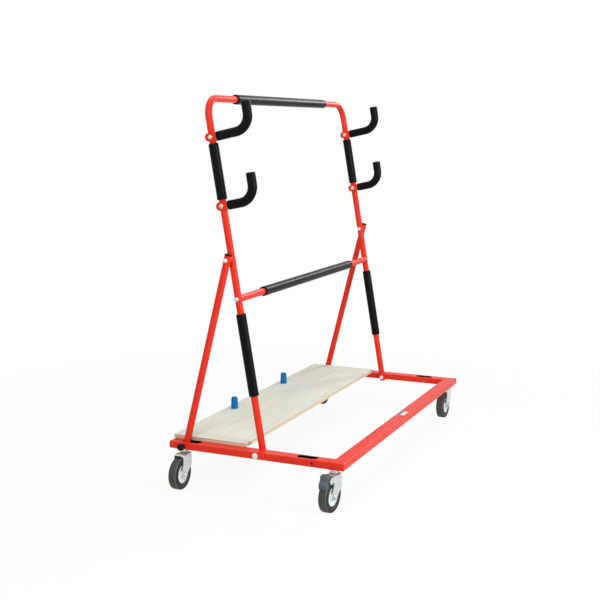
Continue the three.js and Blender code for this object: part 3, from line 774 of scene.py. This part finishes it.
def label_plate():
    """A bare plate with a plain field, on top of the front rail."""
    place = Matrix.Translation((middle_x + LABEL_SHIFT, front_face + LABEL_SETBACK, RAIL_TOP))
    bm = bmesh.new()
    outline = rounded_rectangle(LABEL_LENGTH, LABEL_WIDTH, LABEL_MARGIN)
    prism(bm, outline, LABEL_LIFT, LABEL_THICK, 2 * LABEL_LIFT, "xyz")
    piece("label_plate", bm, "base", PLATE, place=place)

    bm = bmesh.new()
    field = LABEL_WIDTH / 2 - LABEL_MARGIN
    outline = rounded_rectangle(LABEL_LENGTH - 2 * LABEL_MARGIN, field, LABEL_MARGIN / 2)
    prism(bm, outline, LABEL_THICK, LABEL_THICK + FIELD_THICK, LABEL_LIFT, "xyz")
    back = Matrix.Translation((0, field / 2 + LABEL_MARGIN / 2, LABEL_LIFT))
    piece("label_field", bm, "base", FIELD, place=place @ back)


def deck():
    low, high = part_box("deck")
    centre = (low + high) / 2
    board = bmesh.new()
    outline = rounded_rectangle(high.x - low.x, high.y - low.y, DECK_CORNER, steps=3)
    prism(board, outline, low.z, high.z, EDGE, "xyz")
    board.transform(Matrix.Translation((centre.x, centre.y, 0)))
    holes = bmesh.new()
    for name, _ in SIDES:
        peg_low, peg_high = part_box(f"{name}_stop_peg")
        peg = (peg_low + peg_high) / 2
        drill(holes, "z", SPIGOT + FIT, low.z - OVER, high.z + OVER, (peg.x, peg.y, 0))
    piece("deck_board", carved(board, holes), "base", PLY, ["deck"])


def stop_pegs():
    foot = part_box("deck")[1].z + FIT
    for name, _ in SIDES:
        node = f"{name}_stop_peg"
        low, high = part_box(node)
        centre = (low + high) / 2
        top = PEG - PEG_TAPER - PEG_ROUND
        corners = [(0, low.z), (SPIGOT, low.z), (SPIGOT, foot), (PEG, foot), (PEG, foot + 2 * EDGE)]
        profile = eased(corners, EDGE)
        profile += arc((top, high.z - PEG_ROUND), PEG_ROUND, *PEG_ARC, steps=8)
        profile += [(0, high.z)]
        bm = bmesh.new()
        turned(bm, "z", profile, (centre.x, centre.y, 0))
        piece(f"{name}_peg", bm, "base", BLUE, [node])


# Folding frame
def frame_tubes():
    bm = bmesh.new()
    corners = [(-UPRIGHT_X, 0, -FOOT_LENGTH), (-UPRIGHT_X, 0, FRAME_LENGTH),
               (UPRIGHT_X, 0, FRAME_LENGTH), (UPRIGHT_X, 0, -FOOT_LENGTH)]
    pipe(bm, bent_path(corners, FRAME_BEND), AXES["y"], TUBE, TUBE_BORE)
    piece("frame_tube", bm, "back_frame", RED, ["upright_frame"], place=frame_place)

    bar = bmesh.new()
    ends = [Vector((side * UPRIGHT_X, 0, CROSS_BAR_AT)) for _, side in SIDES]
    pipe(bar, ends, AXES["y"], TUBE, TUBE_BORE)
    copes = bmesh.new()
    for _, side in SIDES:
        drill(copes, "z", TUBE + FIT / 2, -2 * TUBE, 2 * TUBE, (side * UPRIGHT_X, 0, CROSS_BAR_AT))
    bm = carved(bar, copes)
    piece("cross_bar_tube", bm, "back_frame", RED, ["cross_bar"], place=frame_place)


def foam_ring(start, end, direction, place):
    """A foam sleeve round a straight tube, with rounded ends and a slightly uneven skin."""
    bm = bmesh.new()
    ends = arc((0, 0), SLEEVE_ROUND, 90, 0, steps=4)
    soft = SLEEVE - SLEEVE_ROUND
    span = end - start - 2 * SLEEVE_ROUND
    count = round(span / SLEEVE_STEP)
    profile = [(SLEEVE_BORE, start)]
    profile += [(soft + y, start + SLEEVE_ROUND - x) for x, y in reversed(ends)]
    profile += [(SLEEVE, start + SLEEVE_ROUND + span * step / count) for step in range(1, count)]
    profile += [(soft + y, end - SLEEVE_ROUND + x) for x, y in ends]
    profile += [(SLEEVE_BORE, end)]
    turned(bm, direction, profile, place, ROUND, closed=True)
    soften(bm, SLEEVE_UNEVEN, SLEEVE_WAVE)
    return bm


def frame_sleeves():
    bars = (("top_bar", TOP_SLEEVE_LENGTH, FRAME_LENGTH), ("cross_bar", CROSS_SLEEVE_LENGTH, CROSS_BAR_AT))
    for name, length, height in bars:
        bm = foam_ring(-length / 2, length / 2, "x", (0, 0, height))
        foam_piece(f"{name}_foam", bm, f"{name}_sleeve")
    for name, side in SIDES:
        for level, (start, end) in FRAME_SLEEVES.items():
            bm = foam_ring(start, end, "z", (side * UPRIGHT_X, 0, 0))
            foam_piece(f"{name}_{level}_foam", bm, f"{name}_{level}_sleeve")


# Hooks, with the bolt at the origin, the upright along Z and the arm along -Y
def hook_line(reach, start, tip):
    slope = math.tan(HOOK_TILT)
    corners = [(0, -start, (start - SADDLE_FRONT) * slope), (0, -reach, (reach - SADDLE_FRONT) * slope),
               (0, -reach, tip)]
    return bent_path(corners, HOOK_BEND, HOOK_STEP)


def hook_foam(reach):
    """The foam tube over a hook's rod: bored from its root, with a shallow dish at its tip."""
    bm = bmesh.new()
    root = SADDLE_FRONT + FIT + HOOK_SLEEVE * math.sin(HOOK_TILT)
    outside = stations_along(hook_line(reach, root, HOOK_RISE), AXES["x"], HOOK_SLEEVE)
    bore = resized(outside[:-2], HOOK_ROD + FIT)
    tip, first, second, _ = outside[-1]
    up = AXES["z"]
    rim = [(tip + up * (y - SLEEVE_ROUND), first, second, HOOK_SLEEVE - SLEEVE_ROUND + x)
           for x, y in arc((0, 0), SLEEVE_ROUND, 0, 90, steps=4)]
    dish = [(tip, first, second, HOOK_ROD), (tip - up * HOOK_TIP_DISH, first, second, HOOK_ROD - 2 * EDGE),
            (tip - up * HOOK_TIP_DISH, first, second, 0)]
    skin(bm, resized(bore[-1:], 0) + bore[::-1] + outside[:-1] + rim + dish, ROUND)
    soften(bm, HOOK_UNEVEN, HOOK_WAVE)
    return bm


def hook_saddle():
    """A plate bent to a U round the upright, with rounded ears."""
    throat = TUBE + FIT
    outer = throat + SADDLE_PLATE
    inner_corner = SADDLE_CORNER - SADDLE_PLATE
    plan = [(outer, SADDLE_BACK)]
    for x, start in ((1, 360), (-1, 270)):
        centre = (x * (outer - SADDLE_CORNER), SADDLE_CORNER - SADDLE_FRONT)
        plan += arc(centre, SADDLE_CORNER, start, start - 90, steps=6)
    plan += [(-outer, SADDLE_BACK), (-throat, SADDLE_BACK)]
    for x, start in ((-1, 180), (1, 270)):
        centre = (x * (throat - inner_corner), SADDLE_CORNER - SADDLE_FRONT)
        plan += arc(centre, inner_corner, start, start + 90, steps=4)
    plan += [(throat, SADDLE_BACK)]
    strip = bmesh.new()
    prism(strip, plan, -SADDLE_HEIGHT, SADDLE_HEIGHT, 0, "xyz")
    radius = SADDLE_HEIGHT / 2
    front = -SADDLE_FRONT - OVER
    ear = arc((SADDLE_BACK - radius, 0), radius, -90, 90, steps=20)
    ear += [(front, radius), (front, -radius)]
    side = bmesh.new()
    prism(side, ear, -2 * outer, 2 * outer, 0, "yzx")
    bolt_hole = bmesh.new()
    drill(bolt_hole, "x", BOLT + FIT, -2 * outer, 2 * outer, (0, 0, 0))
    return carved(carved(strip, side, "INTERSECT"), bolt_hole)


def hooks():
    for name, side in SIDES:
        for level, (height, reach) in HOOKS.items():
            place = frame_place @ Matrix.Translation((side * UPRIGHT_X, 0, height))
            node = f"{name}_{level}_hook"
            bm = hook_saddle()
            line = hook_line(reach, SADDLE_FRONT - SADDLE_PLATE / 2, HOOK_RISE - ROD_SHORT_OF_TIP)
            skin(bm, capped(stations_along(line, AXES["x"], HOOK_ROD)), ROUND)
            piece(f"{node}_bracket", bm, "back_frame", RED, [node], place=place)
            foam_piece(f"{node}_foam", hook_foam(reach), f"{node}_sleeve", place)


# Fasteners
def hexagon(bm, radius, low, high, axis, place=(0, 0, 0)):
    """A six-sided nut or head with its corners chamfered."""
    chamfer = (high - low) * HEX_CHAMFER
    inner = radius * math.cos(math.pi / HEX)
    profile = [(0, low), (inner, low), (radius, low + chamfer), (radius, high - chamfer), (inner, high),
               (0, high)]
    turned(bm, axis, profile, place, HEX)


def washer(bm, radius, bore, low, high, axis, place=(0, 0, 0)):
    corners = [(bore, low), (radius, low), (radius, high), (bore, high)]
    turned(bm, axis, eased(corners, EDGE / 2, closed=True), place, ROUND, closed=True)


def domed_head(bm, radius, length):
    """A domed head on its shank, along X from the seat of the head."""
    rise = HEAD_HEIGHT - 2 * WASHER
    ball = arc((0, 0), radius, *DOME_ARC, steps=8)
    dome = [(x, 2 * WASHER + y * rise / radius) for x, y in ball]
    profile = [(0, -length), (BOLT, -length), (BOLT, WASHER), (radius, WASHER), *dome, (0, HEAD_HEIGHT)]
    turned(bm, "x", profile)


def flanged_head(bm, radius, length):
    """A hexagon head with a dished face on its shank, along X from the seat of the head."""
    turned(bm, "x", [(0, -length), (BOLT, -length), (BOLT, WASHER), (0, WASHER)])
    top = HEAD_HEIGHT - EDGE
    hexagon(bm, radius, WASHER, top, "x")
    face = [(0, top), (radius * DISH_RIM, top), (radius * DISH_FLAT, HEAD_HEIGHT), (0, HEAD_HEIGHT)]
    turned(bm, "x", face)


def cross_bolt(name, node, body, head, radius, metals, nutted):
    """A bolt along X in the place of its CAD node, with its head outside and its nut inside."""
    low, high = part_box(node)
    centre = (low + high) / 2
    side = 1 if centre.x > middle_x else -1
    seat = (high.x if side > 0 else low.x) - side * HEAD_HEIGHT
    length = high.x - low.x - HEAD_HEIGHT
    place = facing(side, (seat, centre.y, centre.z))
    bolt = bmesh.new()
    head(bolt, radius * HEAD_IN_WASHER, length)
    washers = bmesh.new()
    washer(washers, radius, BOLT + FIT, 0, WASHER, "x")
    if nutted:
        hexagon(bolt, NUT, EDGE - length, NUT_HEIGHT - WASHER - length, "x")
        washer(washers, NUT + EDGE, BOLT + FIT, NUT_HEIGHT - WASHER - length, NUT_HEIGHT - length, "x")
    piece(f"{name}_bolt_head", bolt, body, metals[0], [node], place=place)
    piece(f"{name}_washers", washers, body, metals[1], place=place)


def bolts():
    for name, _ in SIDES:
        node = f"{name}_pivot_bolt"
        cross_bolt(f"{name}_pivot", node, "base", flanged_head, PIVOT_HEAD, (ZINC, ZINC), True)
        for held, nutted in (("cross_bar", False), ("brace", True)):
            node = f"{name}_{held}_bolt"
            cross_bolt(f"{name}_{held}", node, "back_frame", domed_head, BOLT_HEAD, (ZINC, BRIGHT), nutted)
        for level in HOOKS:
            node = f"{name}_{level}_hook_bolt"
            metals = (WARM_ZINC, BRIGHT)
            cross_bolt(f"{name}_{level}_hook", node, "back_frame", domed_head, BOLT_HEAD, metals, True)


# Braces
def braces():
    for name, side in SIDES:
        joint = joints[f"{name}_brace_swing"]
        foot_y = back_end - BRACE_FOOT_FROM_BACK
        lean = math.atan2(foot_y - joint.y, joint.z - RAIL_TOP)
        place = Matrix.Translation(joint) @ Matrix.Rotation(lean, 4, "X")
        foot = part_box(f"{name}_brace")[0].z
        length = (joint.z - foot) / math.cos(lean) - TUBE * math.tan(lean)
        tube = bmesh.new()
        pipe(tube, [Vector((0, 0, -length)), Vector((0, 0, BRACE_PAST_BOLT))], AXES["x"], TUBE, TUBE_BORE)
        hole = bmesh.new()
        drill(hole, "x", BOLT + FIT, -2 * TUBE, 2 * TUBE, (0, 0, 0))
        bm = carved(tube, hole)
        boss = sorted((-side * (TUBE - 2 * EDGE), -side * (BRACE_X - UPRIGHT_X - TUBE - FIT)))
        washer(bm, BRACE_BOSS, BOLT + FIT, *boss, "x")
        piece(f"{name}_brace_tube", bm, f"{name}_brace", RED, [f"{name}_brace"], place=place)

        bm = bmesh.new()
        root = BRACE_PAST_BOLT - PLUG_DEPTH
        seat = BRACE_PAST_BOLT + FIT / 2
        top = BRACE_PAST_BOLT + PLUG_HEAD
        bore = TUBE_BORE - FIT / 2
        plug = [(0, root), (bore, root), (bore, seat)]
        plug += eased([(TUBE, seat), (TUBE, top), (0, top)], PLUG_ROUND, steps=5)
        turned(bm, "z", plug)
        piece(f"{name}_brace_plug", bm, f"{name}_brace", BLACK, place=place)


# Clamp knobs
def clamp_knobs():
    for name, side in SIDES:
        joint = joints[f"{name}_clamp_turn"]
        bm = bmesh.new()
        start = FIT + KNOB_NECK_LENGTH
        end = start + KNOB_LENGTH
        dish = end - EDGE
        grip = [(0, start), (KNOB, start), (KNOB, end), (KNOB_RIM, end), (KNOB_DISH, dish), (0, dish)]
        profile = eased(grip, KNOB_ROUND, steps=5)
        turned(bm, "x", profile, sides=FINE_ROUND, lobes=KNOB_LOBES, lobe_depth=LOBE_DEPTH)
        neck = [(0, FIT), (KNOB_NECK, FIT), (KNOB_NECK, start + OVER), (0, start + OVER)]
        turned(bm, "x", eased(neck, EDGE))
        screw = [(0, -SCREW_TIP), (BOLT, -SCREW_TIP), (BOLT, OVER), (0, OVER)]
        turned(bm, "x", eased(screw, 2 * EDGE))
        place = facing(side, (middle_x + side * HALF_LENGTH, joint.y, RAIL_MIDDLE))
        node = f"{name}_clamp_knob"
        piece(f"{name}_knob", bm, f"{name}_clamp", BLACK, [node], place=place)


# Casters, with the kingpin on Z and the wheel trailing towards -X
def caster_mount(name, place):
    rivet_top = CROWN_BOTTOM - FIT
    rivet_bottom = rivet_top - RIVET_HEIGHT
    bearing_bottom = RACE_TOP + FIT
    bearing_top = bearing_bottom + BEARING_HEIGHT
    flange_top = RAIL_BOTTOM - FIT
    flange_bottom = flange_top - FLANGE_HEIGHT
    stem_top = RAIL_BOTTOM + RAIL_WALL
    profile = [(0, rivet_bottom), (RIVET, rivet_bottom), (RIVET, rivet_top), (KINGPIN, rivet_top),
               (KINGPIN, bearing_bottom), (BEARING, bearing_bottom), (BEARING, bearing_top),
               (NECK, bearing_top), (NECK, flange_bottom), (FLANGE, flange_bottom), (FLANGE, flange_top),
               (KINGPIN, flange_top), (KINGPIN, stem_top), (0, stem_top)]
    bm = bmesh.new()
    turned(bm, "z", eased(profile, MOUNT_ROUND))
    piece(f"{name}_mount_stem", bm, "base", ZINC, [f"{name}_caster_mount"], place=place)


def leg_outline(braked):
    """A fork seen from the side: its legs slant from under the crown to the axle."""
    top = CROWN_TOP + OVER
    outline = [(FORK_BACK, top), (FORK_BACK, LEG_SHOULDER)]
    outline += arc((AXLE.x, AXLE.z), AXLE_BOSS, *BOSS_ARC, steps=14)
    outline += [(-FORK_FRONT - FORK_PLATE, 2 * WHEEL - 2 * FORK_PLATE)]
    if braked:
        outline += arc((PIN.x, PIN.z), EAR, *EAR_ARC, steps=10)
    outline += [(-FORK_FRONT, top)]
    return outline


def caster_fork(name, place, braked):
    """A fork pressed from one plate: a bent channel cut to the outline of its legs."""
    section = []
    walls = ((LEG_OUTSIDE, CROWN_TOP, FORK_BEND), (-LEG_INSIDE, CROWN_BOTTOM, FORK_BEND - FORK_PLATE))
    for half, height, bend in walls:
        section += eased([(half, 0), (half, height), (-half, height), (-half, 0)], bend, steps=6)
    channel = bmesh.new()
    prism(channel, section, -3 * FORK_FRONT, FORK_FRONT, 0, "yzx")
    legs = bmesh.new()
    prism(legs, leg_outline(braked), -2 * LEG_OUTSIDE, 2 * LEG_OUTSIDE, 0, "xzy")
    cuts = bmesh.new()
    drill(cuts, "y", BOLT + FIT, -2 * LEG_OUTSIDE, 2 * LEG_OUTSIDE, AXLE)
    drill(cuts, "z", KINGPIN + FIT, CROWN_BOTTOM - OVER, CROWN_TOP + OVER, (0, 0, 0))
    if braked:
        drill(cuts, "y", PEDAL_PIN + FIT, -2 * LEG_OUTSIDE, 2 * LEG_OUTSIDE, PIN)
        gap = rounded_rectangle(2 * FORK_FRONT, 2 * LEG_INSIDE, FORK_CORNER)
        mouth = [(x - 2 * FORK_FRONT - OVER, y) for x, y in gap]
        prism(cuts, mouth, WHEEL, CROWN_TOP + OVER, 0, "xyz")
    bm = carved(carved(channel, legs, "INTERSECT"), cuts)
    bm.normal_update()
    race = [(KINGPIN + FIT, CROWN_TOP), (RACE, CROWN_TOP), (RACE, RACE_TOP), (KINGPIN + FIT, RACE_TOP)]
    turned(bm, "z", eased(race, EDGE, closed=True), closed=True)
    # Painted shade: faces inside the fork under its crown, and the bearing race above it, take the darkened
    # zinc that stands for the shade there
    for face in bm.faces:
        centre = face.calc_center_median()
        inside = abs(centre.y) < LEG_INSIDE + EDGE and centre.z < CROWN_BOTTOM + EDGE
        shaded = (inside and abs(face.normal.x) < FORE_AND_AFT) or centre.z > CROWN_TOP + EDGE / 4
        face.material_index = 1 if shaded else 0
    piece(f"{name}_fork_body", bm, f"{name}_swivel", ZINC, [f"{name}_fork"], ZINC_IN_PAINTED_SHADE, place)


def caster_axle(name, place):
    bm = bmesh.new()
    seat = LEG_OUTSIDE + FIT
    shank = [(0, -seat), (BOLT, -seat), (BOLT, seat + NUT_HEIGHT), (0, seat + NUT_HEIGHT)]
    turned(bm, "y", eased(shank, EDGE), AXLE)
    for low in (-seat - WASHER, seat):
        washer(bm, NUT + WASHER, BOLT, low, low + WASHER, "y", AXLE)
    hexagon(bm, NUT, -seat - HEAD_HEIGHT, -seat - WASHER, "y", AXLE)
    hexagon(bm, NUT, seat + WASHER, seat + HEAD_HEIGHT, "y", AXLE)
    piece(f"{name}_axle_bolt", bm, f"{name}_swivel", ZINC, [f"{name}_axle"], place=place)


def mirrored(half):
    """A profile along Y from end to end, worked out from the half on its +Y side."""
    return [(radius, -y) for radius, y in half] + [(radius, y) for radius, y in reversed(half)]


def caster_wheel(name, place):
    rim_outer = TYRE_INNER - FIT
    rim_inner = rim_outer - RIM_THICK
    dish = [(BOLT + FIT, HUB_HALF), (HUB - DRAFT, HUB_HALF), (HUB, WEB_HALF),
            (rim_inner - 2 * DRAFT, WEB_HALF), (rim_inner, RIM_HALF), (rim_outer, RIM_HALF)]
    body = f"{name}_wheel_set"
    bm = bmesh.new()
    turned(bm, "y", mirrored(eased(dish, WEB_ROUND)), AXLE, FINE_ROUND, closed=True)
    piece(f"{name}_wheel_disc", bm, body, DISC, [f"{name}_wheel"], place=place)

    groove_at = TYRE_INNER + TYRE_ROUND
    lip = TYRE_HALF - DRAFT / 2
    wall = [(TYRE_INNER, RIM_HALF), (TYRE_INNER + DRAFT, TYRE_HALF - DRAFT), (groove_at, lip),
            (groove_at + DRAFT, lip - TYRE_GROOVE), (groove_at + 2 * DRAFT, TYRE_HALF)]
    middle = (WHEEL - TYRE_ROUND, TYRE_HALF - TYRE_ROUND)
    shoulder = arc(middle, TYRE_ROUND, *SHOULDER_ARC, steps=7)
    bm = bmesh.new()
    turned(bm, "y", mirrored(wall + shoulder), AXLE, FINE_ROUND, closed=True)
    piece(f"{name}_tyre_tread", bm, body, TYRE, [f"{name}_tyre"], place=place)


def pedal_outline():
    """The pedal seen from the side: a shoe along the tyre under a stepped foot plate."""
    shoe = arc(WHEEL_FROM_PIN, SHOE, *SHOE_ARC, steps=10)
    corners = [shoe[-1], (-PEDAL_REACH, PEDAL_FOOT), (-PEDAL_REACH, PEDAL_STEP_FROM),
               (-PEDAL_STEP, PEDAL_STEP_TO), (-PEDAL_STEP, PEDAL_RISE), (PEDAL_NOSE, PEDAL_RISE), shoe[0]]
    return shoe + eased(corners, PEDAL_ROUND)[1:-1]


def brake_pedal(name, place):
    bm = bmesh.new()
    prism(bm, pedal_outline(), -PEDAL_HALF, PEDAL_HALF, PEDAL_BEVEL, "xzy")
    rib_end = PEDAL_HALF - RIB_INSET
    rib = [(0, -rib_end), (RIB, RIB - rib_end), (RIB, rib_end - RIB), (0, rib_end)]
    for step in range(RIBS):
        share = (step + 0.5) / RIBS
        on_top = (-PEDAL_STEP + share * (PEDAL_STEP + PEDAL_NOSE), 0, PEDAL_RISE)
        on_face = (-PEDAL_REACH, 0, PEDAL_FOOT + share * (PEDAL_STEP_FROM - PEDAL_FOOT))
        for spot in (on_top, on_face):
            turned(bm, "y", rib, spot, SMALL_ROUND)
    at_pin = place @ Matrix.Translation(PIN)
    node = f"{name}_brake_pedal"
    piece(f"{name}_pedal", bm, f"{name}_brake", PEDAL, [node], place=at_pin)

    bm = bmesh.new()
    end = LEG_OUTSIDE + FIT
    head = end + WASHER
    flare = PEDAL_PIN + PIN_FLARE
    turned(bm, "y", mirrored([(0, head), (flare - EDGE, head), (flare, end), (PEDAL_PIN, end)]), PIN)
    piece(f"{name}_pedal_pin", bm, f"{name}_brake", ZINC, place=place)


def caster_place(name):
    """Where a caster stands, turned so that its wheel trails as it does in the frame."""
    king = joints[f"{name}_swivel"]
    trail = joints[f"{name}_roll"] - king
    turn = math.atan2(-trail.y, -trail.x)
    return Matrix.Translation((king.x, king.y, 0)) @ Matrix.Rotation(turn, 4, "Z")


def casters():
    for name in CASTERS:
        place = caster_place(name)
        caster_mount(name, place)
        caster_fork(name, place, name in BRAKED)
        caster_axle(name, place)
        caster_wheel(name, place)
        if name in BRAKED:
            brake_pedal(name, place)


# Studio
def seen_directly(tree):
    """A factor of 1 for camera, glossy and transmission rays, and 0 for the light on the object."""
    path = add_node(tree, "ShaderNodeLightPath").outputs
    total = path["Is Camera Ray"]
    for ray in ("Is Glossy Ray", "Is Transmission Ray"):
        larger = add_node(tree, "ShaderNodeMath", {0: total, 1: path[ray]}, operation="MAXIMUM")
        total = larger.outputs["Value"]
    return total


def mixed(tree, factor, first, second, output):
    blend = add_node(tree, "ShaderNodeMixShader", {"Fac": factor, 1: first, 2: second})
    tree.links.new(blend.outputs["Shader"], output.inputs["Surface"])


def floor():
    """A white floor that shows a soft shadow near the object and fades to plain white further out."""
    bm = bmesh.new()
    bmesh.ops.create_grid(bm, x_segments=1, y_segments=1, size=FLOOR_HALF)
    made = add_mesh("floor", bm)
    finish = Finish("white_floor", Base_Color=FLOOR_COLOUR, Roughness=0.8, Specular_IOR_Level=0.1)
    made.data.materials.append(finish.material)
    distance = finish.node("ShaderNodeVectorMath", {0: finish.coordinates}, operation="LENGTH")
    inputs = {"Value": distance.outputs["Value"], "From Min": FLOOR_GLOW_FROM, "From Max": FLOOR_GLOW_TO,
              "To Min": FLOOR_GLOW_NEAR}
    share = finish.node("ShaderNodeMapRange", inputs, interpolation_type="SMOOTHSTEP").outputs["Result"]
    seen = finish.node("ShaderNodeMath", {0: share, 1: seen_directly(finish.tree)}, operation="MULTIPLY")
    glow = finish.node("ShaderNodeEmission").outputs["Emission"]
    output = finish.tree.nodes["Material Output"]
    mixed(finish.tree, seen.outputs["Value"], finish.shader.outputs["BSDF"], glow, output)


def studio():
    scene = bpy.context.scene
    scene.view_settings.view_transform = "Standard"
    floor()
    world = bpy.data.worlds.new("studio")
    scene.world = world
    world.use_nodes = True
    tree = world.node_tree
    fill = tree.nodes["Background"]
    fill.inputs["Color"].default_value = WHITE
    fill.inputs["Strength"].default_value = WORLD_FILL
    white = add_node(tree, "ShaderNodeBackground", {"Color": WHITE})
    output = tree.nodes["World Output"]
    mixed(tree, seen_directly(tree), fill.outputs["Background"], white.outputs["Background"], output)

    for name, (place, (width, height), power) in LAMPS.items():
        data = bpy.data.lights.new(name, "AREA")
        data.shape = "RECTANGLE"
        data.size = width
        data.size_y = height
        data.energy = power
        lamp = add_object(name, data)
        lamp.location = place
        lamp.rotation_euler = (LAMP_TARGET - Vector(place)).to_track_quat("-Z", "Y").to_euler()


def camera():
    place = Vector((middle_x - HALF_LENGTH - CAMERA_BEFORE_END, front_face - CAMERA_BEFORE_FRONT,
                    RAIL_TOP + CAMERA_ABOVE_RAIL))
    level = math.cos(CAMERA_PITCH)
    forward = Vector((math.cos(CAMERA_YAW) * level, math.sin(CAMERA_YAW) * level, -math.sin(CAMERA_PITCH)))
    data = bpy.data.cameras.new("photo_camera")
    data.sensor_width = SENSOR_WIDTH
    data.lens = FOCAL_PIXELS * SENSOR_WIDTH / FRAME_PIXELS
    made = add_object("photo_camera", data)
    made.location = place
    made.rotation_euler = forward.to_track_quat("-Z", "Y").to_euler()
    bpy.context.scene.camera = made


camera()
studio()
end_rails()
front_rail()
rail_end_plates()
weld_beads()
label_plate()
deck()
stop_pegs()
frame_tubes()
frame_sleeves()
hooks()
bolts()
braces()
clamp_knobs()
casters()
